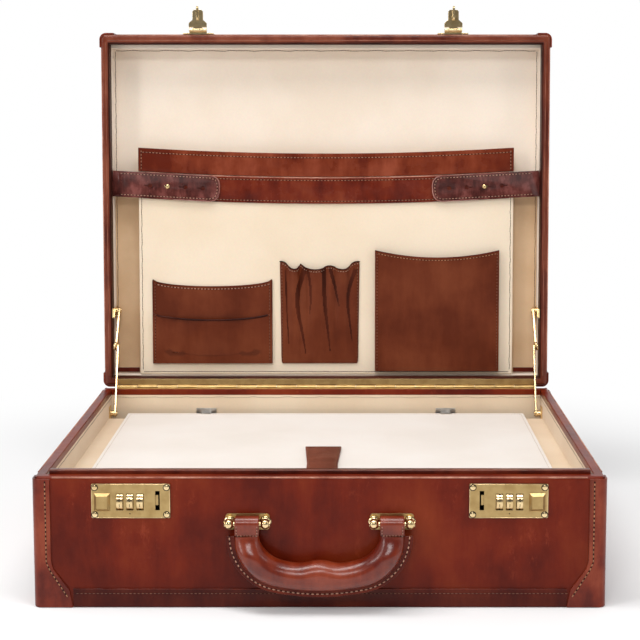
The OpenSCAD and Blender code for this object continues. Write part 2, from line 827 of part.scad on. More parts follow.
module lock_cases() {
    color("#b8935a") both_sides() {
        difference() {
            union() {
                difference() {
                    box([case_x0, face_y, case_z0], [case_x1, case_back_y, case_z1]);
                    box([case_x0 + case_t, face_y - eps, case_z0 + case_t],
                        [case_x1 - case_t, case_back_y - case_t, case_z1 - case_t]);
                }
                axle_rib(dial_mid - rib_x - rib_t);
                axle_rib(dial_mid + rib_x);
                box([spring_x1, spring_y - spring_r, case_z0 + case_t],
                    [spring_x1 + rib_t, case_back_y - case_t, bar_z1 - run_gap]);
            }
            bar_x(case_x0 + case_t, case_x1 - case_t, axle_y, axle_z, axle_r + pin_clear);
        }
    }
}

module dial_axles() {
    color("#b9b4a8") both_sides()
        bar_x(dial_mid - rib_x - rib_t, dial_mid + rib_x + rib_t, axle_y, axle_z, axle_r);
}

module dial(side, i) {
    x = dial_mid + (i - (dials + 1) / 2) * dial_pitch;
    color("#d9b877") on_side(side) difference() {
        bar_x(x - dial_w / 2, x + dial_w / 2, axle_y, axle_z, dial_r);
        bar_x(x - dial_w, x + dial_w, axle_y, axle_z, axle_r + pin_clear);
    }
}

// The bolt spring lies behind the bar, between the slider's tab and the case's tab
spring_x0 = dial_mid;
spring_x1 = spring_x0 + spring_len;
spring_y = case_back_y - case_t - 2 * spring_r - run_gap;
spring_z = (bar_z0 + bar_z1) / 2;

module lock_springs() {
    color("#9a9a9a") both_sides() difference() {
        bar_x(spring_x0 + pin_clear, spring_x1, spring_y, spring_z, spring_r);
        bar_x(spring_x0 - eps, spring_x1 + eps, spring_y, spring_z, spring_r / 2);
    }
}

module button(side) {
    tip_x = slot_x + slot_w / 2 - bolt_reach;
    post_x = slot_x + slot_w / 2 + 2 * bolt_t;
    bolt_z1 = bolt_z + bolt_h / 2;
    color("#dcb769") on_side(side) {
        box([button_x - button_w / 2, plate_face_y - button_up, axle_z - button_h / 2],
            [button_x + button_w / 2, plate_face_y - run_gap, axle_z + button_h / 2]);
        box([stem_x0, plate_face_y - run_gap, axle_z - stem_h / 2], [stem_x1, stem_y1, axle_z + stem_h / 2]);
        box([stem_x0, bolt_y0, bar_z0], [stem_x1, stem_y1, axle_z - stem_h / 2]);
        box([post_x - bolt_t, bolt_y0, bar_z0], [stem_x0, stem_y1, bar_z1]);
        box([post_x - bolt_t, bolt_y0, bar_z1], [post_x, stem_y1, bolt_z1]);
        box([tip_x, bolt_y0, bolt_z1 - bolt_h], [post_x - bolt_t, stem_y1, bolt_z1]);
        box([spring_x0 - rib_t, stem_y1, bar_z0], [spring_x0, case_back_y - case_t - run_gap, bar_z1]);
    }
}

module lock_screws() {
    color("#e0c07a") both_sides() at_screws() {
        bar_y(plate_face_y - screw_head_h, plate_face_y, 0, 0, screw_head_r);
        bar_y(plate_face_y, plate_face_y + screw_len, 0, 0, screw_r);
    }
}

module handle_brackets() {
    color("#c9a45c") both_sides() difference() {
        union() {
            box([bracket_x - bracket_w / 2, face_y - bracket_t, bracket_z0],
                [bracket_x + bracket_w / 2, face_y, bracket_z0 + bracket_h]);
            for (x = [-1, 1]) {
                x0 = bracket_x + x * lug_pitch / 2 - lug_w / 2;
                box([x0, pin_y, pin_z - lug_r], [x0 + lug_w, face_y - bracket_t + eps, pin_z + lug_r]);
                bar_x(x0, x0 + lug_w, pin_y, pin_z, lug_r);
            }
        }
        bar_x(0, half_w, pin_y, pin_z, handle_pin_r + pin_clear);
        at_bracket_rivets()
            bar_y(face_y - bracket_t - eps, face_y + eps, 0, 0, bracket_rivet_r + pin_clear);
    }
}

module handle_pins() {
    reach = lug_pitch / 2 + lug_w / 2;
    color("#e0c07a") both_sides() {
        bar_x(bracket_x - reach, bracket_x + reach, pin_y, pin_z, handle_pin_r);
        bar_x(bracket_x - reach - screw_head_h, bracket_x - reach, pin_y, pin_z, handle_pin_r + screw_head_h);
        bar_x(bracket_x + reach, bracket_x + reach + screw_head_h, pin_y, pin_z, handle_pin_r + screw_head_h);
    }
}

module bracket_rivets() {
    color("#c9a45c") both_sides() at_bracket_rivets()
        bar_y(face_y - bracket_t, face_y + leather_t + front_wall_t, 0, 0, bracket_rivet_r);
}

// The grip's centre line is a long bow with a tighter bend at each end that turns upright
bend_x = bracket_x - grip_bend;
bow_angle = asin(bend_x / (grip_bow - grip_bend));
bow_z = grip_z + grip_bow;
bend_z = bow_z - (grip_bow - grip_bend) * cos(bow_angle);

// Stations along the centre line, each the centre, radius and angle of its arc; the ends that
// stand upright are left out over end_angle
grip_steps = 12;
function bend_stations(end_angle) = [for (i = [0:grip_steps])
    [bend_x, bend_z, grip_bend, bow_angle - 90 + i / grip_steps * (90 - bow_angle - end_angle)]];
function bow_stations() = [for (i = [1:grip_steps - 1])
    [0, bow_z, grip_bow, -90 - bow_angle + 2 * i / grip_steps * bow_angle]];
function grip_stations(end_angle) =
    let (right = bend_stations(end_angle), last = len(right) - 1)
    concat([for (i = [last:-1:0]) [-bend_x, bend_z, grip_bend, -180 - right[i][3]]],
           bow_stations(), right);

// Sweeps a profile, points of distance outward and distance back, along the stations
module grip_sweep(profile, end_angle) {
    stations = grip_stations(end_angle);
    n = len(profile);
    last = len(stations) - 1;
    points = [for (s = stations, p = profile)
        [s[0] + (s[2] + p.x) * cos(s[3]), grip_y + p.y, s[1] + (s[2] + p.x) * sin(s[3])]];
    sides = [for (i = [0:last - 1], j = [0:n - 1]) let (k = (j + 1) % n)
        each [[i * n + j, i * n + k, (i + 1) * n + j], [i * n + k, (i + 1) * n + k, (i + 1) * n + j]]];
    ends = [[for (j = [n - 1:-1:0]) j], [for (j = [0:n - 1]) last * n + j]];
    polyhedron(points, concat(sides, ends));
}

// Round profile, with the stitched flange on its outer side when there is one
grip_sides = 20;
function round_profile(r) = [for (j = [0:grip_sides - 1])
    let (a = -360 * j / grip_sides) r * [cos(a), sin(a)]];
flange_angle = asin(flange_leather / 2 / grip_r);
flanged_profile = concat(
    [for (j = [0:grip_sides]) let (a = -flange_angle - (360 - 2 * flange_angle) * j / grip_sides)
        grip_r * [cos(a), sin(a)]],
    [[flange_reach, flange_leather / 2], [flange_reach, -flange_leather / 2]]);

module handle_grip() {
    color("#8a3f1f") difference() {
        grip_sweep(flanged_profile, 0);
        grip_sweep(round_profile(core_r), core_end);
    }
}

// The core stops short of the upright ends
core_end = 30;

module handle_core() {
    color("burlywood") grip_sweep(round_profile(core_r), core_end);
}

module handle_loops() {
    color("#8a3f1f") both_sides() difference() {
        union() {
            bar_x(bracket_x - loop_w / 2, bracket_x + loop_w / 2, pin_y, pin_z, loop_r);
            box([bracket_x - loop_w / 2, pin_y - loop_r, bend_z],
                [bracket_x + loop_w / 2, pin_y - loop_r + loop_t, pin_z]);
        }
        bar_x(0, half_w, pin_y, pin_z, handle_pin_r + pin_clear);
    }
}

// Stays: points are distances behind and above the hinge's axis
stay_base = [-stay_base_y, -stay_base_z];
stay_lid_shut = [-stay_lid_y, stay_lid_z];
stay_base_front = hinge_y - stay_base_y - stay_plate_w / 2;

function turned(p, a) = [p.x * cos(a) - p.y * sin(a), p.x * sin(a) + p.y * cos(a)];

// Where circles of radius rp round p and rq round q meet, on the left of the line from p to q
function meeting(p, q, rp, rq) =
    let (d = norm(q - p), u = (q - p) / d, a = (rp * rp - rq * rq + d * d) / (2 * d))
    p + a * u + sqrt(rp * rp - a * a) * [-u.y, u.x];

stay_lid_open = turned(stay_lid_shut, -lid_open);
elbow_open = meeting(stay_base, stay_lid_open, arm_len, link_len);
elbow_shut = meeting(stay_base, stay_lid_shut, arm_len, link_len);

function angle_of(v) = atan2(v.y, v.x);

arm_turn = angle_of(elbow_shut - stay_base) - angle_of(elbow_open - stay_base);
link_open = angle_of(elbow_open - stay_lid_open);
link_turn = angle_of(elbow_shut - stay_lid_shut) - link_open - lid_open;
echo(arm_ratio = arm_turn / lid_open, link_ratio = link_turn / lid_open);

// Layers of a stay, counted inward from the lined side wall
link_x1 = in_x - stay_plate_t - boss_len;
link_x0 = link_x1 - bar_t;
arm_x1 = in_x - stay_plate_t - arm_boss_len;
arm_x0 = arm_x1 - bar_t;

// A flat bar of a stay between two points, with round ends
module stay_bar(x0, x1, p, q, r) {
    translate([0, hinge_y + p.x, hinge_z + p.y]) rotate([angle_of(q - p), 0, 0]) {
        translate([x0, 0, -r]) cube([x1 - x0, norm(q - p), 2 * r]);
        bar_x(x0, x1, 0, 0, r);
        bar_x(x0, x1, norm(q - p), 0, r);
    }
}

// Round bar along X at a point given from the hinge
module stay_pin(x0, x1, p, r) {
    bar_x(x0, x1, hinge_y + p.x, hinge_z + p.y, r);
}

module stay_arms() {
    color("#d1aa60") both_sides() {
        difference() {
            stay_bar(arm_x0, arm_x1, stay_base, elbow_open, bar_w / 2);
            stay_pin(arm_x0 - eps, arm_x1 + eps, stay_base, stay_pin_r + pin_clear);
        }
        stay_pin(arm_x0, link_x1 + run_gap, elbow_open, elbow_pin_r);
        stay_pin(link_x1 + run_gap, in_x - stay_plate_t - run_gap, elbow_open, bar_w / 2);
    }
}

// The elbow's slot lies across the link, because the pin wanders there between its two ends
module stay_links() {
    slot_r = elbow_pin_r + elbow_play + pin_clear;
    eye_r = slot_r + bar_t;
    u = (elbow_open - stay_lid_open) / link_len;
    far = elbow_open - elbow_drift * [-u.y, u.x];
    color("#d1aa60") both_sides() difference() {
        union() {
            stay_bar(link_x0, link_x1, stay_lid_open, elbow_open, bar_w / 2);
            stay_bar(link_x0, link_x1, elbow_open, far, eye_r);
        }
        stay_bar(link_x0 - eps, link_x1 + eps, elbow_open, far, slot_r);
        stay_pin(link_x0 - eps, link_x1 + eps, stay_lid_open, stay_pin_r + pin_clear);
    }
}

module stay_base_brackets() {
    color("#d1aa60") both_sides() translate([0, hinge_y + stay_base.x, hinge_z + stay_base.y]) {
        box([in_x - stay_plate_t, -stay_plate_w / 2, -stay_plate_h / 2],
            [in_x, stay_plate_w / 2, stay_plate_h / 2]);
        bar_x(arm_x1, in_x - stay_plate_t, 0, 0, stay_boss_r);
        bar_x(arm_x0 - run_gap, arm_x1, 0, 0, stay_pin_r);
        bar_x(arm_x0 - run_gap - leaf_t, arm_x0 - run_gap, 0, 0, stay_head_r);
    }
}

module stay_lid_brackets() {
    color("#d1aa60") opened() both_sides()
        translate([0, hinge_y + stay_lid_shut.x, hinge_z + stay_lid_shut.y]) {
            box([in_x - stay_plate_t, -stay_plate_w / 2, lid_z - hinge_z - stay_lid_shut.y + run_gap],
                [in_x, stay_plate_w / 2, lid_in_z - hinge_z - stay_lid_shut.y]);
            bar_x(link_x1, in_x - stay_plate_t, 0, 0, stay_boss_r);
            bar_x(link_x0 - run_gap, link_x1, 0, 0, stay_pin_r);
            bar_x(link_x0 - run_gap - leaf_t, link_x0 - run_gap, 0, 0, stay_head_r);
        }
}

// Places of a hasp plate's two rivets, in the shut lid's front wall
hasp_rivet_z = lid_z + rivet_up;
hasp_hole_y1 = face_y + leather_t + front_wall_t;

module at_hasp_rivets() {
    for (x = [-1, 1]) translate([slot_x + x * rivet_pitch / 2, 0, hasp_rivet_z]) children();
}

module hasp_holes() {
    both_sides() at_hasp_rivets()
        bar_y(face_y - hasp_plate_t - eps, hasp_hole_y1 + eps, 0, 0, rivet_r + pin_clear);
}

module lid_carcass() {
    color("burlywood") opened() difference() {
        slab(lid_z + leather_t, lid_top - leather_t) plan(leather_t);
        slab(lid_z, lid_board_z) room(lining_t);
        hasp_holes();
    }
}

module lid_leather() {
    color("#7a3a1e") opened() difference() {
        slab(lid_z + leather_t, lid_top) plan();
        slab(lid_z, lid_top - leather_t) plan(leather_t);
        hasp_holes();
        hinge_groove();
    }
}

module lid_rim() {
    color("#6b3019") opened() difference() {
        union() {
            slab(lid_z, lid_z + leather_t) plan();
            slab(lid_z + leather_t, lid_z + lid_turn) room(lining_t);
        }
        slab(lid_z - eps, lid_top) room();
        hinge_groove();
        leaf_recess(lid_z - eps, lid_z + leaf_t);
    }
}

module lid_lining() {
    color("#e7d8bb") opened() {
        difference() {
            slab(lid_z + lid_turn, lid_board_z) room(lining_t);
            slab(lid_z, lid_in_z) room();
        }
        box([-in_x, in_front_y, lid_z + lid_turn], [in_x, in_front_y + lid_pad_t, lid_in_z]);
    }
}

module lid_edge_binding() {
    color("#5f2a17") opened() difference() {
        slab(lid_top - lid_binding_w, lid_top + binding_t) plan(-binding_t);
        slab(0, lid_top) plan();
        slab(0, lid_top + cap_t)
            square([body_w - 2 * lid_binding_w, body_d - 2 * lid_binding_w], center = true);
        for (x = [-1, 1], y = [-1, 1])
            translate([x * (half_w + cap_t), y * (half_d + cap_t), lid_top])
                cube([2 * (cap_leg + run_gap), 2 * (cap_leg + run_gap), 2 * lid_h], center = true);
    }
}

module lid_corner_caps() {
    color("#5f2a17") opened() difference() {
        slab(lid_z + cap_gap, lid_top + cap_t) plan(-cap_t);
        slab(0, lid_top) plan();
        cube([2 * (half_w + cap_t - cap_leg), 2 * body_d, 4 * lid_top], center = true);
        cube([2 * body_w, 2 * (half_d + cap_t - cap_leg), 4 * lid_top], center = true);
    }
}

module hinge_lid_leaf() {
    color("#c9a45c") opened() hinge_leaf(lid_z, 1);
}

// The barrel of a hasp, in the shut lid's place
barrel_y = cap_face_y - barrel_out;
barrel_z = base_h - barrel_drop;

module hasp_plates() {
    color("#d1aa60") opened() both_sides() difference() {
        union() {
            box([slot_x - hasp_plate_w / 2, face_y - hasp_plate_t, lid_z + run_gap],
                [slot_x + hasp_plate_w / 2, face_y, lid_z + hasp_plate_h]);
            box([slot_x - barrel_w / 2, barrel_y, lid_z + run_gap],
                [slot_x + barrel_w / 2, face_y - hasp_plate_t + eps, lid_z + run_gap + hasp_plate_t]);
            box([slot_x - barrel_w / 2, barrel_y - barrel_r, barrel_z],
                [slot_x + barrel_w / 2, barrel_y, lid_z + run_gap + hasp_plate_t]);
            bar_x(slot_x - barrel_w / 2, slot_x + barrel_w / 2, barrel_y, barrel_z, barrel_r);
        }
        bar_x(0, half_w, barrel_y, barrel_z, hasp_pin_r + pin_clear);
        bar_x(slot_x - hasp_knuckle_w / 2 - run_gap, slot_x + hasp_knuckle_w / 2 + run_gap,
              barrel_y, barrel_z, barrel_r + run_gap);
        at_hasp_rivets() bar_y(face_y - hasp_plate_t - eps, face_y + eps, 0, 0, rivet_r + pin_clear);
    }
}

module hasp_pins() {
    color("#e0c07a") opened() both_sides()
        bar_x(slot_x - barrel_w / 2, slot_x + barrel_w / 2, barrel_y, barrel_z, hasp_pin_r);
}

module hasp_rivets() {
    color("#e0c07a") opened() both_sides() at_hasp_rivets() {
        bar_y(face_y - hasp_plate_t - rivet_head_h, face_y - hasp_plate_t, 0, 0, rivet_head_r);
        bar_y(face_y - hasp_plate_t, hasp_hole_y1, 0, 0, rivet_r);
    }
}

// The hasp is drawn latched and then swung a quarter turn out from the lid
hasp_in_y = plate_face_y - screw_head_h - run_gap;

module hasp_shape() {
    difference() {
        union() {
            bar_x(slot_x - hasp_knuckle_w / 2, slot_x + hasp_knuckle_w / 2, barrel_y, barrel_z, barrel_r);
            translate([slot_x, hasp_in_y, barrel_z]) rotate([90, 0, 0]) linear_extrude(hasp_t)
                polygon([[-hasp_knuckle_w / 2, 0], [-hasp_knuckle_w / 2, -barrel_r - run_gap],
                         [-hasp_w / 2, -barrel_r - run_gap], [-hasp_w / 2, -shoulder_reach],
                         [-tongue_w / 2, -shoulder_reach - 2 * hasp_t],
                         [-tongue_w / 2, hasp_t - tongue_reach], [hasp_t - tongue_w / 2, -tongue_reach],
                         [tongue_w / 2 - hasp_t, -tongue_reach], [tongue_w / 2, hasp_t - tongue_reach],
                         [tongue_w / 2, -shoulder_reach - 2 * hasp_t],
                         [hasp_w / 2, -shoulder_reach], [hasp_w / 2, -barrel_r - run_gap],
                         [hasp_knuckle_w / 2, -barrel_r - run_gap], [hasp_knuckle_w / 2, 0]]);
            for (x = [-tongue_w / 2, tongue_w / 2 - flange_t])
                translate([slot_x + x, hasp_in_y, barrel_z])
                    box([0, -hasp_t - flange_up, 2 * hasp_t - tongue_reach],
                        [flange_t, eps - hasp_t, -shoulder_reach - 2 * hasp_t]);
            box([slot_x - hook_t / 2, hasp_in_y - hasp_t, barrel_z - tongue_reach],
                [slot_x + hook_t / 2, hasp_in_y, barrel_z - hook_near]);
            translate([slot_x - hook_t / 2, hasp_in_y, barrel_z]) rotate([90, 0, 90]) linear_extrude(hook_t)
                polygon([[-hasp_t, -hook_near], [hook_heel, -hook_near],
                         [hook_depth, -hook_near - hasp_t], [hook_depth, hasp_t - hook_reach],
                         [hook_depth - hasp_t, -hook_reach], [0, -hook_reach], [-hasp_t, -tongue_reach]]);
        }
        bar_x(0, half_w, barrel_y, barrel_z, hasp_pin_r + pin_clear);
        box([slot_x - hook_t, bolt_y0 - 2 * run_gap, bolt_z - bolt_h / 2 - 2 * run_gap],
            [slot_x + hook_t, stem_y1 + 2 * run_gap, bolt_z + bolt_h / 2 + 2 * run_gap]);
    }
}

module hasp(side) {
    color("#d8b566") opened() on_side(side)
        translate([0, barrel_y, barrel_z]) rotate([-90, 0, 0])
            translate([0, -barrel_y, -barrel_z]) hasp_shape();
}

// Widths of the organiser's pieces, and the left edges of its pockets
panel_w = 2 * (in_x - panel_side);
strap_len = 2 * (in_x - strap_end);
card_x = card_side - panel_w / 2;
card_w = pen_x - card_gap - card_x;
large_x = pen_x + pen_w + large_gap;
large_w = panel_w / 2 - large_side - large_x;

// Levels of the organiser in the shut lid
panel_back_z = lid_in_z - file_depth;
panel_z = panel_back_z - panel_t;
panel_s0 = hinge_y - in_back_y + panel_foot_gap;
panel_s1 = panel_s0 + panel_h;
strap_z = panel_z - run_gap - org_t;
tab_z = strap_z - run_gap - org_t;
strap_mid_s = strap_s + strap_w / 2;
foot_r = panel_t / 2;
sag_y = hinge_y - panel_s1 - sag_r;
strap_r = sag_r + panel_s1 - strap_mid_s;
function strap_rise(x) = strap_r - sqrt(pow(strap_r, 2) - pow(x, 2));
tab_slope = atan((strap_rise(in_x) - strap_rise(in_x - tab_len)) / tab_len);
sewn_s = strap_s + strap_rise(in_x);

// Box in the lid: x from x0, height above the hinge from s0 and level from z0
module lid_box(low, high) {
    box([low.x, hinge_y - high.y, low.z], [high.x, hinge_y - low.y, high.z]);
}

// Strip between two levels at its middle, len long. All such strips share one sag.
module sagging(s0, s1, len) {
    intersection() {
        translate([0, sag_y]) difference() {
            circle(sag_r + panel_s1 - s0, $fn = sag_fn);
            circle(sag_r + panel_s1 - s1, $fn = sag_fn);
        }
        translate([-len / 2, sag_y]) square([len, hinge_y - sag_y]);
    }
}

// The panel's round foot lies on the axis that it tilts about
module file_panel() {
    color("#ead9ba") opened() {
        slab(panel_z, panel_back_z) difference() {
            translate([-panel_w / 2, hinge_y - panel_s1 - band_h])
                square([panel_w, panel_s1 + band_h - panel_s0 - foot_r]);
            translate([0, sag_y]) circle(sag_r, $fn = sag_fn);
        }
        bar_x(-panel_w / 2, panel_w / 2, hinge_y - panel_s0 - foot_r, panel_z + foot_r, foot_r);
    }
}

module panel_band() {
    color("#7a3a1e") opened() {
        slab(panel_z - org_t, panel_z) sagging(panel_s1 - band_h, panel_s1, panel_w);
        slab(panel_z - org_t, panel_back_z) sagging(panel_s1, panel_s1 + org_t, panel_w);
    }
}

module panel_gussets() {
    color("#cdb890") opened() both_sides()
        lid_box([panel_w / 2 - org_t, panel_s0, panel_back_z], [panel_w / 2, panel_s1, lid_in_z]);
}

// Removes what stands above a pocket's mouth, an arc that dips to level s in the middle
module above_mouth(x0, w, s) {
    half = w / 2 + org_t;
    r = (pow(half, 2) + pow(pocket_sag, 2)) / (2 * pocket_sag);
    translate([x0 + w / 2, hinge_y - s - r]) slab(0, lid_top) circle(r, $fn = sag_fn);
}

module card_pocket() {
    color("#7a3a1e") opened() for (tier = [0, 1]) difference() {
        h = tier == 0 ? card_h : card_front_h;
        z1 = panel_z - tier * org_t;
        lid_box([card_x, card_s, z1 - org_t], [card_x + card_w, card_s + h, z1]);
        above_mouth(card_x, card_w, card_s + h - pocket_sag);
    }
}

module pen_pocket() {
    pitch = (pen_w - org_t) / pens;
    color("#7a3a1e") opened() difference() {
        lid_box([pen_x, card_s, panel_z - pen_depth], [pen_x + pen_w, card_s + pen_h, panel_z]);
        for (i = [0:pens - 1])
            lid_box([pen_x + org_t + i * pitch, card_s + org_t, panel_z - pen_depth + org_t],
                    [pen_x + (i + 1) * pitch, card_s + pen_h + eps, panel_z + eps]);
    }
}

module large_pocket() {
    color("#8a4422") opened() difference() {
        lid_box([large_x, large_s, panel_z - large_depth], [large_x + large_w, large_s + large_h, panel_z]);
        lid_box([large_x + org_t, large_s + org_t, panel_z - large_depth + org_t],
                [large_x + large_w - org_t, large_s + large_h + eps, panel_z + eps]);
        above_mouth(large_x, large_w, large_s + large_h - pocket_sag);
    }
}

module strap_middle() {
    color("#6b3019") opened() slab(strap_z, strap_z + org_t) sagging(strap_s, strap_s + strap_w, strap_len);
}

// A tab's own frame: X runs along it from the lid's side wall, up to which it slopes
module at_tab() {
    translate([in_x, hinge_y - strap_mid_s - strap_rise(in_x), 0]) rotate([0, 0, -tab_slope]) children();
}

// Tabs run inward from the side walls, where their ends turn down and are sewn on
module strap_tabs() {
    color("#5a2418") opened() both_sides() {
        difference() {
            intersection() {
                at_tab() slab(tab_z, tab_z + org_t) {
                    translate([tab_tip_r - tab_len, -strap_w / 2]) square([tab_len, strap_w]);
                    translate([-tab_len, tab_tip_r - strap_w / 2]) square([tab_len, strap_w - 2 * tab_tip_r]);
                    for (y = [-1, 1])
                        translate([tab_tip_r - tab_len, y * (strap_w / 2 - tab_tip_r)]) circle(tab_tip_r);
                }
                box([0, face_y, 0], [in_x, half_d, lid_top]);
            }
            for (i = [0:holes - 1]) at_tab()
                translate([-hole_first - i * hole_pitch, 0, tab_z - eps])
                    cylinder(h = org_t + 2 * eps, r = hole_r);
        }
        lid_box([in_x - org_t, sewn_s, tab_z + org_t], [in_x, sewn_s + strap_w, panel_back_z]);
    }
}

module strap_studs() {
    color("#e0c07a") opened() both_sides() at_tab() translate([-hole_first - hole_pitch, 0, 0]) {
        translate([0, 0, tab_z - run_gap]) cylinder(h = strap_z - tab_z + run_gap, r = stud_r);
        translate([0, 0, tab_z - run_gap - stud_head_h]) cylinder(h = stud_head_h, r = stud_head_r);
    }
}

base_carcass();
base_leather();
base_bottom_panel();
base_edge_binding();
base_corner_caps();
base_rim();
base_front_lip();
base_wall_lining();
base_floor_lining();
divider_ledges();
divider_hinge_lugs();
lock_plates();
lock_cases();
dial_axles();
lock_springs();
lock_screws();
handle_brackets();
handle_pins();
bracket_rivets();
hinge_base_leaf();
hinge_pin();
stay_base_brackets();
lid_carcass();
lid_leather();
lid_edge_binding();
lid_corner_caps();
lid_rim();
lid_lining();
hinge_lid_leaf();
hasp_plates();
hasp_pins();
hasp_rivets();
stay_lid_brackets();
strap_middle();
strap_tabs();
strap_studs();
panel_gussets();
file_panel();
panel_band();
card_pocket();
pen_pocket();
large_pocket();
divider();
divider_pull_tab();
handle_grip();
handle_core();
handle_loops();
hasp(-1);  // hasp_left
hasp(1);  // hasp_right
button(-1);  // button_left
button(1);  // button_right
dial(-1, 1);  // dial_left_1
dial(-1, 2);  // dial_left_2
dial(-1, 3);  // dial_left_3
dial(1, 1);  // dial_right_1
dial(1, 2);  // dial_right_2
dial(1, 3);  // dial_right_3
stay_arms();
stay_links();
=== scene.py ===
import json
import math

import bpy
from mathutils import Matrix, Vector

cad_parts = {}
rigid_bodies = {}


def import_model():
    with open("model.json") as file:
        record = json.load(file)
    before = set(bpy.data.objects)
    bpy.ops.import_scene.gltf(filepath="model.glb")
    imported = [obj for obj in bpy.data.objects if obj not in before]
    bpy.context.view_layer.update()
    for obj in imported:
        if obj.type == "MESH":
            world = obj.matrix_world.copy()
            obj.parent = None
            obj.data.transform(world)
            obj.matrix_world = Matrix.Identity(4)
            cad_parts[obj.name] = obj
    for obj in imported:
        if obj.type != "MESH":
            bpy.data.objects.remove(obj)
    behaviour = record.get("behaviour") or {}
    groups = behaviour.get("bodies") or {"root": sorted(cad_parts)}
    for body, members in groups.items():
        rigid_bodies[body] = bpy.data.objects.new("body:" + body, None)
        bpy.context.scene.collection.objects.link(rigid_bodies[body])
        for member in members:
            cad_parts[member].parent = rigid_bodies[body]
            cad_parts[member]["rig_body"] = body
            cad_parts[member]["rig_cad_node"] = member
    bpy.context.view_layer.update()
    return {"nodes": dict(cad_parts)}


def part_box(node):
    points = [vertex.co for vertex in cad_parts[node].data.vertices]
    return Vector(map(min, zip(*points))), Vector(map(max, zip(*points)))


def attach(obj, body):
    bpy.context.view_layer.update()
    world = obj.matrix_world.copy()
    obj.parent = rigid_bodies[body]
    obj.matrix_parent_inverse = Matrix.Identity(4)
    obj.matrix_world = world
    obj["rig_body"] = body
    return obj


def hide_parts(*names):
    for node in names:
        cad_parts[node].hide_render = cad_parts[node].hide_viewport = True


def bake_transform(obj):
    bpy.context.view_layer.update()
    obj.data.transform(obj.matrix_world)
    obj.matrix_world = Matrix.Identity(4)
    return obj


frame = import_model()

# The camera stands as the photographer's did: right of the middle, above the rim, looking a little
# down. Soft boxes above, beside and in front give the gloss.
mm = 0.001
scene = bpy.context.scene
scene.view_settings.view_transform = "Standard"
bpy.ops.object.select_all(action="DESELECT")
bpy.ops.object.camera_add(location=(0.0217, -1.3377, 0.4091), rotation=(math.radians(83.6), 0, 0))
camera = bpy.context.object
camera.name = "camera"
camera.data.sensor_width = 36
camera.data.lens = 85.76
camera.data.shift_x = -0.043
camera.data.shift_y = -0.1011
scene.camera = camera


def soft_box(name, place, aim_height, width, height, power):
    """A rectangular studio light that looks at the middle of the case, in metres and watts."""
    bpy.ops.object.light_add(type="AREA", location=place)
    light = bpy.context.object
    light.name = name
    light.rotation_euler = (Vector((0, 0, aim_height)) - Vector(place)).to_track_quat("-Z", "Y").to_euler()
    light.data.shape = "RECTANGLE"
    light.data.size = width
    light.data.size_y = height
    light.data.energy = power


soft_box("light_above", (-0.2, -0.42, 1.75), 0.15, 1.7, 0.4, 19)
soft_box("light_left", (-1.5, -1.15, 0.95), 0.15, 0.3, 1.3, 9)
soft_box("light_right", (1.6, -0.9, 0.9), 0.2, 0.25, 1.1, 3)
soft_box("light_front", (-0.15, -2.4, 1.9), 0.2, 1.3, 0.4, 19)


# White shows behind the object, and in what its metal mirrors, where it fades towards the studio's
# front. The floor is pale paper that keeps the object's shadow and turns white farther out.
def wire(tree, node, inputs):
    """Gives each input of a node its value, or a link where it is given another node's output."""
    for key, value in inputs.items():
        if isinstance(value, bpy.types.NodeSocket):
            tree.links.new(value, node.inputs[key])
        else:
            node.inputs[key].default_value = value
    return node


def add_node(tree, kind, inputs, **settings):
    """Adds a shader node with its settings and its inputs."""
    node = tree.nodes.new(f"ShaderNode{kind}")
    for key, value in settings.items():
        setattr(node, key, value)
    return wire(tree, node, inputs)


def brightest(tree, a, b):
    """The larger of two outputs."""
    return add_node(tree, "Math", {0: a, 1: b}, operation="MAXIMUM").outputs[0]


world = bpy.data.worlds.new("studio")
scene.world = world
world.use_nodes = True
sky = world.node_tree
ray = add_node(sky, "LightPath", {})
direction = add_node(sky, "TexCoord", {})
parts = add_node(sky, "SeparateXYZ", {"Vector": direction.outputs["Generated"]})
backdrop = add_node(sky, "MapRange", {
    "Value": parts.outputs["Y"], "From Min": -0.35, "From Max": 0.4, "To Min": 0.15})
by_mirror = brightest(sky, ray.outputs["Is Glossy Ray"], ray.outputs["Is Transmission Ray"])
around = add_node(sky, "Mix", {"Factor": by_mirror, "A": 0.42, "B": backdrop.outputs["Result"]})
wire(sky, sky.nodes["Background"], {
    "Color": (1, 1, 1, 1),
    "Strength": brightest(sky, ray.outputs["Is Camera Ray"], around.outputs["Result"])})


def new_finish(name):
    """A new material, its node tree, its shader and the place on the piece that its patterns follow."""
    material = bpy.data.materials.new(name)
    material.use_nodes = True
    tree = material.node_tree
    return material, tree, tree.nodes["Principled BSDF"], add_node(tree, "TexCoord", {}).outputs["Object"]


bpy.ops.mesh.primitive_plane_add(size=16)
floor = bpy.context.object
floor.name = "floor"
floor_paint, paint, floor_shader, on_floor = new_finish("floor_paint")
wire(paint, floor_shader, {"Base Color": (0.93, 0.93, 0.93, 1), "Roughness": 0.9, "Specular IOR Level": 0.1})
floor_ray = add_node(paint, "LightPath", {})
seen = brightest(paint, floor_ray.outputs["Is Camera Ray"], floor_ray.outputs["Is Glossy Ray"])
from_middle = add_node(paint, "VectorMath", {0: on_floor}, operation="LENGTH").outputs["Value"]
far_floor = add_node(paint, "MapRange", {"Value": from_middle, "From Min": 0.3, "From Max": 0.75},
                     interpolation_type="SMOOTHSTEP").outputs["Result"]
white_share = add_node(paint, "Math", {0: seen, 1: far_floor}, operation="MULTIPLY").outputs[0]
bright_paper = add_node(paint, "Emission", {})
floor_mix = add_node(paint, "MixShader", {
    0: white_share, 1: floor_shader.outputs[0], 2: bright_paper.outputs[0]})
wire(paint, paint.nodes["Material Output"], {"Surface": floor_mix.outputs[0]})
floor.data.materials.append(floor_paint)


